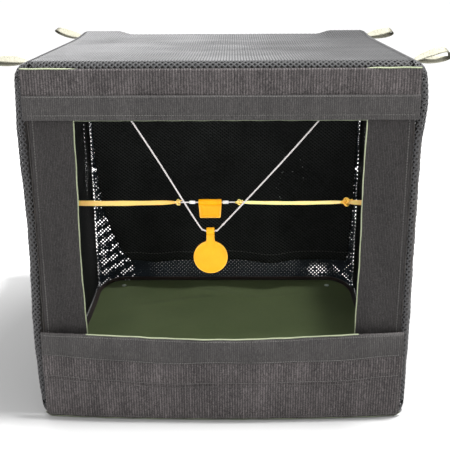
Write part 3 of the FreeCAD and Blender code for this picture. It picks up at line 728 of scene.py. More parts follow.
outer_nets("left", -1, (0, LEFT_END), (LEFT_END, LEFT_CORNER_END),
           (UP, (0, 0, TOP_SEAM - 2 * MM), 0.05))
outer_nets("right", 1, (RIGHT_CORNER_END, RIGHT_END), (TOP_END, RIGHT_CORNER_END),
           towards(HOOP_FACE + 0.5 * MM, 0.05))
skin_net("top_net", (LEFT_CORNER_END, TOP_END), (5.9 * MM, 6.2 * MM), 0.55, top_yarn_painted_sheen, "top",
         ["top_mesh"])


def foot_net(side, sign):
    """The foot of a side net, tucked in under the floor's edge."""
    length = 12.5 * MM

    def foot(u, t):
        turn = u / length * math.pi / 2
        x = SKIN_SIDE - 5 * MM * (1 - np.cos(turn))
        z = SKIN_FOOT - (SKIN_FOOT - 0.8 * MM) * np.sin(turn)
        y, inward = roll_over(t)
        return np.stack([sign * (x - inward), y * sign, z], -1)

    piece(f"{side}_foot_net", [net(foot, (0, length), (-SKIN_END, SKIN_END), NET_PITCH, 0.40)],
          outer_yarn, "base", squash=(UP, (0, 0, 0.4 * MM), 0.05))


NET_DEPTH = (-DEPTH_HALF + 3 * MM, DEPTH_HALF - 3 * MM)
NET_RISE = (FLOOR_SEAM + 2 * MM, TOP_SEAM - 2 * MM)
NET_WIDTH = (-TOP_HALF + 3 * MM, TOP_HALF - 3 * MM)


def inner_net(side, sign):
    x_in = low("right_inner_mesh")[0] + 0.6 * MM

    def wall(u, v):
        sag = 1.2 * MM * np.sin(math.pi * unit((v - 10 * MM) / (370 * MM)))
        x = x_in + sag + ripple(u, (130 * MM, 0.5 * MM, 0.3))
        return np.stack([sign * x, u, v], -1)

    def wall_hole(u, v):
        upper = unit((v - 160 * MM) / (30 * MM))
        return 0.36 + 0.28 * upper * hump(u, 122 * MM, 35 * MM)

    parts = [net(wall, NET_DEPTH, NET_RISE, (6.4 * MM, 6.1 * MM), wall_hole, 0.6 * MM)]
    piece(f"{side}_inner_net", parts, inner_yarn, f"{side}_side",
          [f"{side}_inner_mesh"])


def lining():
    """The open net under the top, which lets the light through to the floor."""
    z = (low("top_lining")[2] + high("top_lining")[2]) / 2

    def sheet(u, v):
        return np.stack([u, v, np.full_like(u, z)], -1)

    parts = [net(sheet, NET_WIDTH, NET_DEPTH, (8.2 * MM, 8.0 * MM), 0.66, 0.9 * MM)]
    piece("top_lining_net", parts, inner_yarn, "top", ["top_lining"])


for side_name, side_sign in SIDES:
    foot_net(side_name, side_sign)
for side_name, side_sign in SIDES:
    inner_net(side_name, side_sign)
lining()


def back_sheet(u, v):
    """The net back, a little slack between its edges."""
    share_x = unit(1 - (u / FRONT_HALF) ** 2)
    share_z = np.sin(math.pi * unit(v / TOP_OUT))
    slack = 3.0 * MM * share_x + ripple(u, (140 * MM, 0.8 * MM, 1.0))
    y = BACK_FACE + 0.4 * MM + slack * share_z
    return np.stack([u, y, v], -1)


def scatter(u, v):
    """An even scatter of values from 0 to 1, settled by place."""
    return np.abs(np.sin(u / MM * 12.9898 + v / MM * 78.233) * 4375.85) % 1.0


def open_left(u, v):
    """Slanting rows of open holes in the lower left corner."""
    edge = -135 * MM - 0.38 * (v - 26 * MM)
    inside = unit((edge - u) / (6 * MM)) * unit((128 * MM - v) / (8 * MM))
    rows = np.sin(2 * math.pi * (v - 0.55 * u) / (16.6 * MM) + 1.1)
    return inside * unit((rows + 0.15) / 0.4)


def open_right(u, v):
    """An open patch in the lower right corner, and a slanting row beside it."""
    patch = unit(2 * hump(u, 142 * MM, 13 * MM) * hump(v, 33 * MM, 8 * MM))
    row = unit(1 - np.abs(v - 36 * MM + 0.8 * (u - 171 * MM)) / (6 * MM))
    return patch + row * unit((u - 164 * MM) / (5 * MM))


def back_hole(u, v):
    """The holes of the back: nearly shut, but pulled open near the lower corners."""
    pulled = unit(open_left(u, v) + open_right(u, v)) * (scatter(v, u) < 0.85)
    column = unit((np.abs(u) - 181 * MM) / (3 * MM)) * (scatter(u, v) < 0.45)
    below = 0.09 * unit((120 * MM - np.abs(u)) / (15 * MM))
    return 0.07 + below + 0.42 * np.maximum(pulled, 0.42 * column)


BACK_HALF = FRONT_HALF - 0.6 * MM
BACK_TOP = SKIN_TOP - ROLL
BACK_FOOT = 1.2 * MM


def back_net(half, body, rows, anchor):
    parts = [net(back_sheet, (-BACK_HALF, BACK_HALF), rows, (5.8 * MM, 5.7 * MM), back_hole)]
    piece(f"back_net_{half}", parts, back_yarn, body, [f"back_mesh_{half}"],
          (UP, (0, 0, anchor), 0.17))


back_net("lower", "base", (BACK_FOOT, BACK_MIDDLE), FLOOR_SEAM)
back_net("upper", "top", (BACK_MIDDLE, BACK_TOP), TOP_SEAM)


# ---------------------------------------------------------------- the front frame


def bow(x):
    """How far the slack bottom band stands out at x."""
    return BOTTOM_BOW * unit(1 - (x / FRONT_HALF) ** 2) ** 0.8


def ribs(x, pitch, height):
    """Rounded upright ribs."""
    return height * (np.abs(np.sin(math.pi * x / pitch)) ** 0.7 - 0.5)


def crease(x):
    """How the lower edges of the hem and the fold dip towards the middle."""
    dip = unit(1 - (x / (175 * MM)) ** 2) ** 1.3
    return -5.2 * MM * dip + ripple(x, (210 * MM, 0.8 * MM, 0.9), (95 * MM, 0.5 * MM, 2.2))


def rim_lift(x):
    """How the upper edge of the bottom band climbs to the corners of the opening."""
    climb = np.sin(math.pi / 2 * unit(np.abs(x) / (165 * MM))) ** 2
    return -1.0 * MM + 4.2 * MM * climb


def foot_corner(x):
    """The rounded lower corners of the bottom band."""
    over = unit((np.abs(x) - (FRONT_HALF - 8 * MM)) / (6 * MM))
    return 4.5 * MM * (1 - np.sqrt(1 - 0.98 * over**2))


MAIN_RIB = (2.8 * MM, 0.5 * MM)
HEM_RIB = (2.1 * MM, 0.2 * MM)
BAND_TOP = TOP_OUT - 3.5 * MM
BAND_SQUASH = (UP, (0, 0, 0), 0.6)
TOP_END_X = FRONT_HALF - 0.8 * MM
BAND_END = FRONT_HALF - 2.2 * MM
LONG_WAVE = (150 * MM, 0.8 * MM, 0.2)


def webbing_strip(name, node, half, z_edges, face, rib, waves, body="top", bulge=0.0,
                  bowed=False, shifts=(None, None), flare=0.0):
    """A strip of webbing across the front, with upright ribs and slack between its edges.

    z_edges are the lower and upper edges. shifts are functions of X that move them, and flare
    is how far the lower edge stands out.
    """
    thickness = 1.2 * MM
    columns = int(2 * half / (rib[0] / 4))
    rows = max(4, int((z_edges[1] - z_edges[0]) / (2.2 * MM)))
    x = np.linspace(-half, half, columns + 1)[:, None]
    share = np.linspace(0, 1, rows + 1)[None, :]
    bottom, top = (edge + (shift(x) if shift else 0 * x) for edge, shift in zip(z_edges, shifts))
    z = bottom + (top - bottom) * share
    x = x + 0 * z
    out = ribs(x, *rib) + bulge * np.sin(math.pi * share) ** 0.6 + flare * (1 - share) ** 3
    out = out + ripple(x, *waves) * np.sin(math.pi * share)
    if bowed:
        out = out + bow(x)
    grid = np.stack([x, face + thickness / 2 - out, z], -1)
    material = webbing if rib == MAIN_RIB else hem_webbing
    piece(name, [slab(grid, thickness)], material, body, [node],
          None if body == "top" else BAND_SQUASH)


webbing_strip("top_band_webbing", "front_top_band", TOP_END_X, (OPEN_TOP, BAND_TOP),
              TOP_BAND_FACE - 0.4 * MM, MAIN_RIB, [(170 * MM, 0.7 * MM, 0.5)])
webbing_strip("top_hem_webbing", "top_hem_tape", TOP_END_X, (OPEN_TOP - 0.6 * MM, TOP_TAPE_EDGE),
              TOP_TAPE_FACE - 0.3 * MM, HEM_RIB, [(120 * MM, 0.5 * MM, 2.0)], bulge=0.5 * MM)
webbing_strip("bottom_band_webbing", "front_bottom_band", BAND_END,
              (0.8 * MM, OPEN_BOTTOM - 0.5 * MM), BOTTOM_BAND_FACE, MAIN_RIB,
              [(150 * MM, 1.0 * MM, 0.2), (63 * MM, 0.4 * MM, 1.0)], "base", bulge=1.2 * MM,
              bowed=True, shifts=(foot_corner, rim_lift))
webbing_strip("bottom_hem_webbing", "bottom_hem_tape", BAND_END, (HEM_TAPE_EDGE, OPEN_BOTTOM),
              BOTTOM_TAPE_FACE - 1.2 * MM, HEM_RIB, [LONG_WAVE], "base", bulge=1.0 * MM,
              bowed=True, shifts=(crease, rim_lift), flare=1.3 * MM)
webbing_strip("bottom_fold_webbing", "bottom_fold_tape", BAND_END,
              (FOLD_TAPE_EDGE, HEM_TAPE_EDGE + 2 * MM), BOTTOM_TAPE_FACE - 0.3 * MM, MAIN_RIB,
              [LONG_WAVE], "base", bulge=0.7 * MM, bowed=True, shifts=(crease, crease),
              flare=1.6 * MM)

SIDE_RIB = (1.7 * MM, 0.12 * MM)
SIDE_BAND_EDGE = FRONT_HALF - 5.5 * MM


def edge_drift(z, sign):
    """How far the inner edge of a side band strays outwards, at the left, or in, at the right."""
    share = unit((z - OPEN_BOTTOM) / (OPEN_TOP - OPEN_BOTTOM))
    drift = 1.0 + 1.3 * np.sin(math.pi * share) if sign < 0 else -1.8 * (1 - share)
    return drift * MM + ripple(z, (160 * MM, 0.4 * MM, 0.4))


def side_band(side, sign):
    """An upright band behind the two cross bands, slightly slack."""
    x = np.linspace(OPEN_HALF, SIDE_BAND_EDGE, 90)[:, None]
    z = np.linspace(5 * MM, TOP_OUT - 6 * MM, 150)[None, :]
    share = (x - OPEN_HALF) / (SIDE_BAND_EDGE - OPEN_HALF)
    slack = ripple(z, (150 * MM, 0.8 * MM, 0.6 + sign), (58 * MM, 0.3 * MM, 1.4))
    y = SIDE_FACE + 0.7 * MM + (0.9 * MM + slack) * np.sin(math.pi * share) - ribs(x, *SIDE_RIB)
    x = sign * (x + edge_drift(z, sign) * (1 - share))
    grid = np.stack([x + 0 * z, y + 0 * z, z + 0 * x], -1)
    if sign < 0:
        grid = grid[::-1]
    piece(f"{side}_band_cloth", [slab(grid, 1.1 * MM)], side_weave, f"{side}_side",
          [f"front_{side}_band"], towards(sign * SIDE_OUT, 0.2))


for side_name, side_sign in SIDES:
    side_band(side_name, side_sign)


# ---------------------------------------------------------------- piping, seams and stitches


def wander(path, amount):
    """Sew a cord slightly off the straight."""
    along = lengths_along(path)
    waves = ((37 * MM, 0.3), (48.1 * MM, 1.1), (29.6 * MM, 2.3))
    return path + np.stack([ripple(along, (length, amount, p)) for length, p in waves], 1)


def piping(name, path, radius, body, stands_for, squash=None, material=piping_cloth):
    piece(name, [tube(wander(path, 0.15 * MM), radius)], material, body,
          stands_for, squash)


def seam(name, path, radius, body):
    piece(name, [tube(wander(path, 0.25 * MM), radius, flatten=0.8)], binding_cloth, body)


def stitch_row(path, length=2.3 * MM, gap=0.5 * MM, radius=0.28 * MM):
    """A row of separate raised stitches along a path."""
    along = lengths_along(path)
    profile = np.array([0.25, 0.8, 1.0, 1.0, 0.8, 0.25])
    parts = []
    for start in np.arange(gap, along[-1] - length, length + gap):
        places = start + np.linspace(0, length, len(profile))
        points = np.stack([np.interp(places, along, path[:, k]) for k in range(3)], 1)
        parts.append(tube(points, radius * profile, 6))
    return parts


def stitches(name, paths, body, squash=None):
    parts = [stitch for path in paths for stitch in stitch_row(path)]
    piece(name, parts, thread, body, (), squash)


x_run = np.linspace(-1, 1, 121)


def cross_piping():
    """The piping along the opening's two level edges and along the front's top and foot."""
    opening_x = x_run * (OPEN_HALF - 0.5 * MM)
    front_x = x_run * (FRONT_HALF - 1.0 * MM)
    # The piping under the opening's top edge and along the front's foot takes the darker copy, as
    # painted shade.
    piping("opening_top_edge", run(opening_x, TOP_TAPE_FACE + 0.4 * MM, OPEN_TOP - 0.9 * MM),
           0.55 * MM, "top", ["opening_top_piping"], material=painted_shade_piping)
    rim = OPEN_BOTTOM + 0.3 * MM + rim_lift(opening_x)
    piping("opening_bottom_edge", run(opening_x, BOTTOM_TAPE_FACE - 0.6 * MM - bow(opening_x), rim),
           0.85 * MM, "base", ["opening_bottom_piping"], BAND_SQUASH)
    tucked = unit((155 * MM - np.abs(front_x)) / (25 * MM))
    y = TOP_BAND_FACE - 0.2 * MM + 2.3 * MM * tucked
    piping("top_front_edge", run(front_x, y, BAND_TOP + (0.3 - 2.4 * tucked) * MM), 0.75 * MM, "top",
           ["top_seam_piping"])
    y = BOTTOM_BAND_FACE + 0.4 * MM - bow(front_x)
    piping("bottom_front_edge", run(front_x, y, 1.0 * MM + foot_corner(front_x)), 0.8 * MM, "base",
           ["bottom_piping"], BAND_SQUASH, painted_shade_piping)


def upright_piping(side, sign):
    z = np.linspace(OPEN_BOTTOM - 3 * MM, OPEN_TOP + 3 * MM, 90)
    x = sign * (OPEN_HALF - 0.4 * MM + edge_drift(z, sign))
    piping(f"{side}_opening_edge", run(x, SIDE_FACE + 0.7 * MM, z), 0.75 * MM, f"{side}_side",
           [f"{side}_piping"], towards(sign * SIDE_OUT, 0.2))


def cross_stitches():
    """The rows of stitches along the hems, the fold and the ends of the cross bands."""
    x = x_run * (FRONT_HALF - 5 * MM)
    stitches("top_band_stitches", [
        run(x, TOP_TAPE_FACE - 0.8 * MM, TOP_TAPE_EDGE - 1.5 * MM),
        run(x, TOP_TAPE_FACE - 1.0 * MM, OPEN_TOP + 4.5 * MM),
    ], "top")
    fold = FOLD_TAPE_EDGE + crease(x)
    rows = (
        (BOTTOM_TAPE_FACE - 1.8 * MM, OPEN_BOTTOM - 2.5 * MM + rim_lift(x)),
        (BOTTOM_TAPE_FACE - 3.4 * MM, HEM_TAPE_EDGE + crease(x) + 1.6 * MM),
        (BOTTOM_TAPE_FACE - 3.0 * MM, fold + 1.5 * MM),
        (BOTTOM_BAND_FACE - 1.3 * MM, fold - 4.5 * MM),
        (BOTTOM_BAND_FACE - 0.9 * MM, 4.0 * MM),
    )
    paths = [run(x, face - bow(x), z) for face, z in rows]
    for end in (x[0], x[-1]):
        z = np.linspace(5 * MM, OPEN_BOTTOM - 4 * MM, 40)
        paths.append(run(end, BOTTOM_TAPE_FACE - 1.3 * MM - bow(end), z))
    stitches("bottom_band_stitches", paths, "base", BAND_SQUASH)


def side_stitches(side, sign):
    z = np.linspace(10 * MM, TOP_OUT - 12 * MM, 60)
    path = run(sign * (SIDE_BAND_EDGE - 4.0 * MM), SIDE_FACE + 0.25 * MM, z)
    stitches(f"{side}_band_stitches", [path], f"{side}_side", towards(sign * SIDE_OUT, 0.2))


def upright_seams(side, sign):
    z = np.linspace(FLOOR_SEAM, TOP_SEAM - 2 * MM, 120)
    body = f"{side}_side"
    seam(f"{side}_rear_seam", run(sign * (FRONT_HALF - 1.0 * MM), BACK_FACE - 2.2 * MM, z),
         0.9 * MM, body)
    seam(f"{side}_front_seam", run(sign * (SIDE_BAND_EDGE + 0.9 * MM), SIDE_FACE + 1.1 * MM, z),
         1.0 * MM, body)


def rear_seams():
    x = x_run * (FRONT_HALF - 3 * MM)
    seam("top_rear_seam", run(x, BACK_FACE + 0.8 * MM, BACK_TOP + 0.4 * MM), 1.8 * MM, "top")
    seam("bottom_rear_seam", run(x, BACK_FACE + 0.8 * MM, 2.0 * MM), 1.5 * MM, "base")


cross_piping()
cross_stitches()
rear_seams()
for side_name, side_sign in SIDES:
    upright_piping(side_name, side_sign)
    side_stitches(side_name, side_sign)
    upright_seams(side_name, side_sign)


# ---------------------------------------------------------------- the floor

FLOOR_SHEET = FLOOR_TOP - 0.4 * MM
FLOOR_FLAT = (UP, (0, 0, FLOOR_SHEET), 0.1)

# Soft ridges in the floor: centre, angle, half length and half width, height.
WRINKLES = (
    ((-0.055, 0.120), 0.25, (0.060, 0.007), 0.0018),
    ((-0.020, 0.145), -0.30, (0.080, 0.008), 0.0015),
    ((0.060, 0.128), 0.12, (0.070, 0.007), 0.0012),
    ((0.120, 0.060), 1.20, (0.050, 0.009), 0.0009),
)


def floor_grid(half_x, half_y, radius, count):
    """A grid that fills a rounded rectangle."""
    v = np.linspace(-1, 1, count)[None, :]
    y = np.sin(v * math.pi / 2 * 0.999) * 0.25 * half_y + v * 0.75 * half_y
    over = np.clip(np.abs(y) - (half_y - radius), 0, radius * 0.9995)
    reach = half_x - radius + np.sqrt(radius**2 - over**2)
    u = np.linspace(-1, 1, count)[:, None]
    return u * reach, y + 0 * u


def rear_rise(y):
    """The rear of the floor is drawn up by the slack back net."""
    share = unit((y - 100 * MM) / (77 * MM))
    return 12.5 * MM * share**2.4


def wrinkle(x, y, centre, angle, size, height):
    along = (x - centre[0]) * math.cos(angle) + (y - centre[1]) * math.sin(angle)
    across = (y - centre[1]) * math.cos(angle) - (x - centre[0]) * math.sin(angle)
    return height * np.exp(-((along / size[0]) ** 2)) * np.exp(-((across / size[1]) ** 2))


def floor_cloth():
    half_x = TOP_HALF - 5.5 * MM
    half_y = DEPTH_HALF - 5.5 * MM
    x, y = floor_grid(half_x, half_y, 36 * MM, 150)
    edge = unit(np.minimum(half_x - np.abs(x), half_y - np.abs(y)) / (25 * MM))
    uneven = ripple(x + 0.3 * y, (160 * MM, 0.5 * MM, 0.7)) + ripple(y, (110 * MM, 0.5 * MM, 0.2))
    for ridge in WRINKLES:
        uneven = uneven + wrinkle(x, y, *ridge)
    z = FLOOR_SHEET + uneven * edge + rear_rise(y)
    piece("floor_cloth_sheet", [slab(np.stack([x, y, z], -1), 0.7 * MM)], green_cloth, "base",
          ["floor_cloth"], FLOOR_FLAT)


def floor_tape():
    """The black tape sewn round the edge of the floor."""
    outline = rounded_outline(TOP_HALF - 3.4 * MM, DEPTH_HALF - 3.4 * MM, 37 * MM)
    height = FLOOR_TOP - 0.3 * MM + rear_rise(outline[:, 1]) * 1.15
    path = np.column_stack([outline, height])
    piece("floor_edge_tape", [tube(path, 3.4 * MM, 10, closed=True, flatten=0.6)], rear_binding,
          "base", (), FLOOR_FLAT)


def ground_cloth_sheet():
    """The under-cloth, which runs out to the bowed front band."""
    u = np.linspace(-1, 1, 90)[:, None]
    v = np.linspace(0, 1, 60)[None, :]
    x = u * (TOP_HALF - 0.3 * MM)
    front = BOTTOM_BAND_FACE + 2.5 * MM - bow(x)
    back = DEPTH_HALF + 2 * MM
    y = front + (back - front) * v
    z = 0.6 * MM + ripple(x, (140 * MM, 0.15 * MM, 0.0)) + 0 * y
    piece("ground_cloth_sheet", [slab(np.stack([x + 0 * y, y, z], -1), 0.7 * MM)], ground_cloth,
          "base", ["ground_sheet"])


def lathe(centre, profile, around=24):
    """A turned solid about a Z axis; profile is (radius, height) from the axis out and back."""
    cosines, sines = circle(around)
    x, y, z = centre
    rings = [run(x + radius * cosines, y + radius * sines, z + height)
             for radius, height in profile]
    return np.concatenate(rings), ring_quads(len(rings), around)[1]


def studs():
    y = (low("floor_studs")[1] + high("floor_studs")[1]) / 2
    spread = high("floor_studs")[0] - 3.5 * MM
    base = low("floor_studs")[2] + rear_rise(y) + 0.8 * MM
    cap = MM * np.array([(0.05, 0), (3.5, 0), (3.5, 0.5), (3.1, 1.0), (2.0, 1.5), (1.0, 1.6),
                         (0.8, 1.2), (0.05, 1.2)])
    parts = [lathe((sign * spread, y, base), cap) for _, sign in SIDES]
    piece("floor_stud_caps", parts, pale_stud, "base", ["floor_studs"],
          (UP, (0, 0, FLOOR_TOP), 0.1))


floor_cloth()
floor_tape()
ground_cloth_sheet()
studs()


# ---------------------------------------------------------------- the rear curtain


def curtain():
    top = high("curtain")[2]
    bottom = low("curtain")[2]
    y_mid = (low("curtain")[1] + high("curtain")[1]) / 2
    half = high("curtain")[0] + 9 * MM
    u = np.linspace(-1, 1, 190)[:, None]
    v = np.linspace(0, 1, 120)[None, :]
    x = u * half
    hem = bottom + ripple(x, (230 * MM, 2.0 * MM, 2.6), (105 * MM, 1.0 * MM, 0.4)) - 6 * MM
    z = top + (hem - top) * v
    drawn_in = np.where(u < 0, 46 * MM, 8 * MM) * v**4.6 * np.abs(u)
    x = x - np.sign(u) * drawn_in
    folds = ripple(x + 12 * MM * v, (118 * MM, 3.6 * MM, 0.9), (57 * MM, 1.5 * MM, 2.1))
    y = y_mid + (folds + ripple(z, (150 * MM, 1.0 * MM, 0.3))) * v**1.3
    doubled = np.where(v[:, ::-1] > 0.955, 2.2 * MM, 1.1 * MM) + 0 * x
    flat = (UP, (0, 0, top - 0.2 * MM), 0.003)
    piece("curtain_cloth", [slab(np.stack([x, y, z], -1)[:, ::-1], doubled)], curtain_cloth,
          "rear_curtain", ["curtain"], flat)
    hem_path = run(x[:, -6], y[:, -6] - 1.2 * MM, hem[:, 0] + 13 * MM)
    piece("curtain_hem_stitches", stitch_row(hem_path, 3.2 * MM, 1.2 * MM, 0.3 * MM), thread,
          "rear_curtain", squash=flat)


curtain()


# ---------------------------------------------------------------- cords, elastic and knots


def twisted(path, radius, lay):
    """Two strands laid round each other along a path."""
    side, up = frames_along(path)
    angles = lengths_along(path)[:, None] / lay * 2 * math.pi
    parts = []
    for angle in (angles, angles + math.pi):
        offset = side * np.cos(angle) + up * np.sin(angle)
        parts.append(tube(path + offset * radius * 0.5, radius * 0.56, 6))
    return parts


def curved(points, step=0.6 * MM):
    """A smooth path through a few points, by Catmull-Rom."""
    points = np.asarray(points, float)
    padded = np.vstack([2 * points[0] - points[1], points, 2 * points[-1] - points[-2]])
    path = []
    for a, b, c, d in zip(padded, padded[1:], padded[2:], padded[3:]):
        count = max(3, int(np.linalg.norm(c - b) / step))
        t = np.arange(count)[:, None] / count
        path.append(0.5 * (2 * b + (c - a) * t + (2 * a - 5 * b + 4 * c - d) * t**2
                           + (3 * b - a - 3 * c + d) * t**3))
    return np.concatenate([*path, points[-1:]])


def knot_path(centre, size, turn=0.0):
    """A closed overhand knot, as a flattened trefoil."""
    t = np.linspace(0, 2 * math.pi, 60, endpoint=False)
    x = (np.sin(t) + 2 * np.sin(2 * t)) / 3
    y = (np.cos(t) - 2 * np.cos(2 * t)) / 3
    z = -np.sin(3 * t)
    c, s = math.cos(turn), math.sin(turn)
    local = np.stack([x * c - y * s, z, x * s + y * c], 1)
    return np.asarray(centre) + local * np.asarray(size)


TIE_TOP = high("cord_ties")[2]
TIE_LEFT = low("cord_ties")[0] + 2 * MM
TIE_RIGHT = high("cord_ties")[0] - 2 * MM
BORE_Z = low("v_cord")[2] + 1.0 * MM
BORE_X = (low("round_paddle")[0] + high("round_paddle")[0]) / 2


def v_cord():
    """The cord from one tie through the round paddle's bore to the other tie."""
    end = high("v_cord")[2]
    middle = end + 0.45 * (BORE_Z - end)
    xz = [
        (TIE_LEFT, end),
        (TIE_LEFT + 0.45 * (BORE_X - TIE_LEFT), middle - 4 * MM),
        (BORE_X - 15 * MM, BORE_Z + 11 * MM),
        (BORE_X - 6 * MM, BORE_Z + 0.8 * MM),
        (BORE_X, BORE_Z),
        (BORE_X + 6 * MM, BORE_Z + 0.8 * MM),
        (BORE_X + 15 * MM, BORE_Z + 9 * MM),
        (TIE_RIGHT - 0.45 * (TIE_RIGHT - BORE_X), middle - 6 * MM),
        (TIE_RIGHT, end),
    ]
    path = curved([(x, CORD_Y, z) for x, z in xz], 0.7 * MM)
    piece("v_cord_strands", twisted(path, 0.95 * MM, 3.4 * MM), cord_yarn, "hanging_cord",
          ["v_cord"])


def cord_ties():
    """A knot at each end of the V cord, and the short loop above it."""
    parts = []
    for x in (TIE_LEFT, TIE_RIGHT):
        knot = knot_path((x, CORD_Y, TIE_TOP - 5.5 * MM), (2.6 * MM, 1.4 * MM, 2.6 * MM))
        loop = curved([(x, CORD_Y, TIE_TOP - 3 * MM), (x + 0.6 * MM, CORD_Y, TIE_TOP),
                       (x, CORD_Y, TIE_TOP + 1.2 * MM)])
        parts += [tube(knot, 0.8 * MM, 7, closed=True), tube(loop, 0.8 * MM, 7)]
    piece("cord_tie_knots", parts, cord_yarn, "tie_pair", ["cord_ties"])


v_cord()
cord_ties()

KNOT_REACH = 4 * MM
LEFT_KNOT = low("line_knots")[0] + KNOT_REACH
END_KNOT = high("line_knots")[0] - KNOT_REACH
RIGHT_KNOT = high("line_cord")[0] + KNOT_REACH + 0.3 * MM
WALL_X = high("left_inner_mesh")[0]


def band_strip(start, end, widths, thickness=1.3 * MM):
    """A flat latex band on edge, drawn in where it is tied. widths are at its two ends."""
    length = end - start
    count = int(length / (1.2 * MM))
    share = np.linspace(0, 1, count)[:, None]
    x = start + length * share
    draw = 1 - 0.62 * np.exp(-(x - start) / (5 * MM))
    draw = draw * (1 - 0.62 * np.exp(-(end - x) / (5 * MM)))
    width = widths[0] + (widths[1] - widths[0]) * share
    half = width / 2 * draw * (1 + 0.05 * np.sin(share * 23))
    lean = 0.12 * np.sin(share * 9)
    cosines, sines = circle(12)
    up = np.sign(cosines) * np.abs(cosines) ** 0.35 * half
    out = np.sign(sines) * np.abs(sines) ** 0.6 * (thickness / 2) / draw**0.4
    y = LINE_Y + out * np.cos(lean) - up * np.sin(lean)
    z = LINE_Z - 1.0 * MM * np.sin(math.pi * share) + up * np.cos(lean) + out * np.sin(lean)
    index, quads = ring_quads(count, 12)
    points, caps = cap_rings(run(x, y, z).reshape(-1, 3), index[0][::-1], index[-1][::-1])
    return points, np.concatenate([flipped(quads), caps])


def elastics():
    bands = (
        ("left_band", "left", WALL_X + 1.5 * MM, LEFT_KNOT - 2 * MM, (6.5, 4.9), left_latex),
        ("right_band", "right", RIGHT_KNOT + 2 * MM, END_KNOT - 2 * MM, (3.9, 4.1), right_latex),
        ("end_band", "end", END_KNOT + 2 * MM, -WALL_X - 1.5 * MM, (6.0, 6.0), right_latex),
    )
    for name, which, start, end, widths, look in bands:
        strip = band_strip(start, end, (widths[0] * MM, widths[1] * MM))
        piece(f"latex_{name}", [strip], look, "cross_line", [f"elastic_{which}"])


def line_knots():
    """The knots between elastic and cord, each with a short loose end."""
    parts = []
    for x, scale in ((LEFT_KNOT, 1.0), (RIGHT_KNOT, 0.95), (END_KNOT, 1.4)):
        size = np.array([3.2, 1.7, 2.7]) * MM * scale
        knot = knot_path((x, LINE_Y, LINE_Z), size, 0.6)
        tail = curved([(x + 1 * MM, LINE_Y, LINE_Z + 1.5 * MM),
                       (x + 3 * MM, LINE_Y - 1.5 * MM, LINE_Z + 2.4 * MM),
                       (x + 5.0 * MM * scale, LINE_Y - 2 * MM, LINE_Z + 2.6 * MM * scale)])
        parts.append(tube(knot, 1.15 * MM * scale, 8, closed=True, flatten=0.8))
        parts.append(tube(tail, 0.9 * MM, 7, flatten=0.6))
    piece("latex_knots_tied", parts, knot_latex, "cross_line", ["line_knots"])


def line_cord():
    path = run(np.linspace(LEFT_KNOT + 2 * MM, RIGHT_KNOT - 2 * MM, 110), LINE_Y, LINE_Z)
    piece("line_cord_strands", twisted(path, 0.85 * MM, 3.0 * MM), cord_yarn, "cross_line",
          ["line_cord"])


def beads():
    """The white sleeves either side of the square paddle."""
    length = 6.6 * MM
    share = np.array([0, 0.03, 0.1, 0.3, 0.5, 0.7, 0.9, 0.97, 1.0])
    radius = np.array([1.25, 1.6, 1.8, 1.86, 1.88, 1.86, 1.8, 1.6, 1.25]) * MM
    starts = (low("cord_beads")[0], high("cord_beads")[0] - length)
    parts = [tube(run(start + length * share, LINE_Y, LINE_Z), radius, 16) for start in starts]
    piece("bead_sleeves", parts, white_plastic, "cross_line", ["cord_beads"])


elastics()
line_knots()
line_cord()
beads()


# ---------------------------------------------------------------- paddles


def plate(outline, thickness, rim_width, rim_height, y_mid):
    """A moulded plate from its outline in XZ: rounded edges, and a raised rim round a flat face."""
    centre = outline.mean(0)
    radial = outline - centre
    length = np.linalg.norm(radial, axis=1, keepdims=True)
    half = thickness / 2
    face = half - rim_height
    # The rings of one face, from the middle out: the share of the outline, and the height.
    steps = [(2.5 * MM / length, face), (0.55, face)]
    rim = ((1, face), (0.82, half - rim_height * 0.3), (0.6, half), (0.35, half),
           (0.1, half * 0.8), (0, half * 0.4), (0, 0.0))
    steps += [(1 - rim_width * inset / length, height) for inset, height in rim]
    mirrored = [(scale, -height) for scale, height in reversed(steps[:-1])]
    rings = []
    for scale, height in steps + mirrored:
        ring = centre + radial * scale
        rings.append(run(ring[:, 0], y_mid - height, ring[:, 1]))
    index, quads = ring_quads(len(rings), len(outline))
    caps = [across_ring(index[0]), across_ring(index[-1])[:, ::-1]]
    return np.concatenate(rings), np.concatenate([quads, *caps])


def barrel(x_range, y, z, outer, bore):
    """A tube along X with rounded ends and an open bore."""
    bevel = 0.6 * MM
    profile = [(0, bore), (0, outer - bevel), (bevel * 0.3, outer - bevel * 0.3), (bevel, outer)]
    start = [(x_range[0] + a, r) for a, r in profile]
    end = [(x_range[1] - a, r) for a, r in reversed(profile)]
    cosines, sines = circle(24)
    rings = [run(x, y + r * cosines, z + r * sines) for x, r in start + end]
    return np.concatenate(rings), flipped(ring_quads(len(rings), 24, closed=True)[1])


RIM_RINGS = range(3, 13)


def set_rim(obj, around):
    """Give the rim of a plate, on both faces, its own lighter material: a painted highlight along the
    rim.
    """
    obj.data.materials.append(orange_rim_painted_highlight)
    for ring in RIM_RINGS:
        for k in range(around):
            obj.data.polygons[ring * around + k].material_index = 1


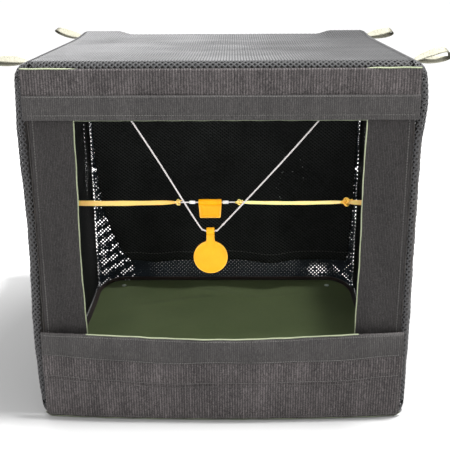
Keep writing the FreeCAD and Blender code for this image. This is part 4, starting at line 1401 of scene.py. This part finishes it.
def round_paddle():
    lo, hi = low("round_paddle"), high("round_paddle")
    radius = (hi[0] - lo[0]) / 2
    centre_z = lo[2] + radius
    neck = 4.3 * MM
    meet = math.asin((neck + 2.2 * MM) / radius)
    turns = np.linspace(math.pi / 2 + meet, math.pi / 2 - meet + 2 * math.pi, 84)
    disc = np.stack([BORE_X + radius * np.cos(turns), centre_z + radius * np.sin(turns)], 1)
    neck_top = hi[2] - 3.0 * MM
    shoulder = centre_z + radius * math.cos(meet)
    fillet = [(neck + 0.9 * MM, shoulder + 0.5 * MM), (neck + 0.15 * MM, shoulder + 1.9 * MM),
              (neck, shoulder + 4 * MM), (neck, neck_top - 3 * MM), (neck, neck_top)]
    right = [(BORE_X + a, b) for a, b in fillet]
    left = [(BORE_X - a, b) for a, b in reversed(fillet)]
    outline = np.array([*disc, *right, *left])
    parts = [
        plate(outline, 3.0 * MM, 1.5 * MM, 0.35 * MM, CORD_Y),
        barrel((BORE_X - neck, BORE_X + neck), CORD_Y, BORE_Z, 4.0 * MM, 1.5 * MM),
    ]
    obj = piece("round_paddle_moulding", parts, orange, "round_target",
                ["round_paddle"])
    set_rim(obj, len(outline))


def square_outline(x_mid, top_half, bottom, top):
    """The outline of the rectangular paddle, a little narrower at the foot."""
    bottom_half = top_half - 1.0 * MM
    corner = 1.6 * MM
    corners = (
        (top_half - corner, top - corner, 90),
        (bottom_half - corner, bottom + corner, 0),
        (corner - bottom_half, bottom + corner, -90),
        (corner - top_half, top - corner, -180),
    )
    outline = []
    for x, z, first in corners:
        for turn in np.linspace(math.radians(first), math.radians(first - 90), 7):
            outline.append((x_mid + x + corner * math.cos(turn), z + corner * math.sin(turn)))
    outline = np.array(outline)
    dense = []
    for a, b in zip(outline, np.roll(outline, -1, 0)):
        count = max(1, int(math.dist(a, b) / (1.5 * MM)))
        dense += [a + (b - a) * k / count for k in range(count)]
    if len(dense) % 2:
        dense.append((dense[-1] + outline[0]) / 2)
    return np.array(dense)[::-1]


def square_paddle():
    lo, hi = low("square_paddle"), high("square_paddle")
    outline = square_outline((lo[0] + hi[0]) / 2, (hi[0] - lo[0]) / 2, lo[2], LINE_Z)
    parts = [
        plate(outline, 3.0 * MM, 2.0 * MM, 0.6 * MM, LINE_Y),
        barrel((lo[0], hi[0]), LINE_Y, LINE_Z, 3.4 * MM, 1.3 * MM),
    ]
    obj = piece("square_paddle_moulding", parts, orange_square, "square_target",
                ["square_paddle"])
    set_rim(obj, len(outline))


round_paddle()
square_paddle()


# ---------------------------------------------------------------- hang loops

LOOP_ROOT = 197.5 * MM


def hang_loop(corner, fullness, rise, skew, lean):
    """A teardrop loop of flat webbing: out below, round the tip and back over the top."""
    node = f"hang_loop_{corner}"
    lo, hi = low(node), high(node)
    sign = 1 if hi[0] > 0 else -1
    reach = max(abs(lo[0]), abs(hi[0])) - LOOP_ROOT
    y_mid = (lo[1] + hi[1]) / 2
    z_root = lo[2] + 0.3 * MM
    turn = np.linspace(-math.pi, math.pi, 64)[:, None]
    along = reach * (1 + np.cos(turn)) / 2
    height = np.sin(turn) * np.cos(turn / 2) ** 1.2 * fullness * 0.7
    height = np.where(turn < 0, 0.15 * height, height)
    rows = np.linspace(-1, 1, 9)[None, :]
    across = rows * (hi[1] - lo[1]) / 2 * (1 - 0.08 * along / reach)
    tilt = math.radians(lean) * np.sin(math.pi * along / reach) ** 0.7
    x = sign * (LOOP_ROOT + along) + 0 * rows
    y = y_mid + across * np.cos(tilt) - height * np.sin(tilt) + skew * along
    z = z_root + across * np.sin(tilt) + height * np.cos(tilt) + rise * (along / reach) ** 1.4
    grid = np.stack([x, y, z], -1)
    if sign < 0:
        grid = grid[:, ::-1]
    piece(f"{node}_webbing", [slab(grid, 1.1 * MM)], loop_webbing, f"loop_{corner}",
          [node])


for loop in (
    ("front_left", 8.0 * MM, -1.5 * MM, 0.10, 30),
    ("front_right", 18.0 * MM, 3.0 * MM, 0.10, 30),
    ("rear_left", 7.5 * MM, 8.5 * MM, 0.05, 44),
    ("rear_right", 13.0 * MM, 3.0 * MM, 0.0, 46),
):
    hang_loop(*loop)


# ---------------------------------------------------------------- CAD pieces that stay


def keep_cad_piece(node, material):
    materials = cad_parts[node].data.materials
    materials.clear()
    materials.append(material)


for panel in ("floor", "top", "left", "right"):
    keep_cad_piece(f"{panel}_wire", steel)
    keep_cad_piece(f"{panel}_binding", binding_cloth)
keep_cad_piece("curtain_header", binding_cloth)


# ---------------------------------------------------------------- stage, light and camera


def stage():
    """A white ground, greyer close to the box."""
    mesh = bpy.data.meshes.new("studio_floor")
    far = 16.0
    mesh.from_pydata([(-far, -far, 0), (far, -far, 0), (far, far, 0), (-far, far, 0)],
                     [], [(0, 1, 2, 3)])
    floor = bpy.data.objects.new("studio_floor", mesh)
    bpy.context.scene.collection.objects.link(floor)
    floor.location.z = -0.3 * MM
    look = Look("studio_floor")
    distance = look.node("VectorMath", {0: look.place}, "Value", operation="LENGTH")
    away = look.scaled(distance, 0.3, 4.0)
    greys = [(place, (grey, grey, grey)) for place, grey in
             ((0.0, 0.41), (0.05, 0.70), (0.27, 0.88), (1.0, 0.93))]
    mesh.materials.append(look.finish(look.ramp(away, greys), 0.9, specular=0.1))


def area_light(name, place, target, size, power):
    light = bpy.data.lights.new(name, "AREA")
    light.shape = "DISK"
    light.size = size
    light.energy = power
    obj = bpy.data.objects.new(name, light)
    bpy.context.scene.collection.objects.link(obj)
    obj.location = place
    aim = Vector(target) - Vector(place)
    obj.rotation_euler = aim.to_track_quat("-Z", "Y").to_euler()


def white_world():
    world = bpy.data.worlds.new("studio")
    bpy.context.scene.world = world
    world.use_nodes = True
    background = world.node_tree.nodes["Background"].inputs
    background["Color"].default_value = (1.0, 1.0, 1.0, 1)
    background["Strength"].default_value = 1.12


def photo_camera():
    """The camera of the photo: 99 cm in front of the middle, looking down."""
    data = bpy.data.cameras.new("camera")
    data.lens = 64.6
    data.sensor_width = 36.0
    camera = bpy.data.objects.new("camera", data)
    bpy.context.scene.collection.objects.link(camera)
    place = Matrix.Translation((0.0129, -0.9900, 0.4811))
    pitch = math.radians(17.66)
    yaw = Matrix.Rotation(math.radians(0.64), 4, "Z")
    roll = Matrix.Rotation(math.radians(-0.30), 4, "Z")
    camera.matrix_world = place @ yaw @ Matrix.Rotation(math.pi / 2 - pitch, 4, "X") @ roll
    bpy.context.scene.camera = camera


stage()
white_world()
area_light("key", (-0.5, -1.7, 1.6), (0, 0, 0.2), 1.2, 3)
area_light("overhead", (0.47, -0.13, 1.95), (0.05, 0, 0.1), 0.22, 75)
area_light("left_rear", (-1.0, 1.3, 0.9), (-0.1, 0.0, 0.39), 0.8, 14)
photo_camera()
bpy.context.scene.view_settings.view_transform = "Standard"
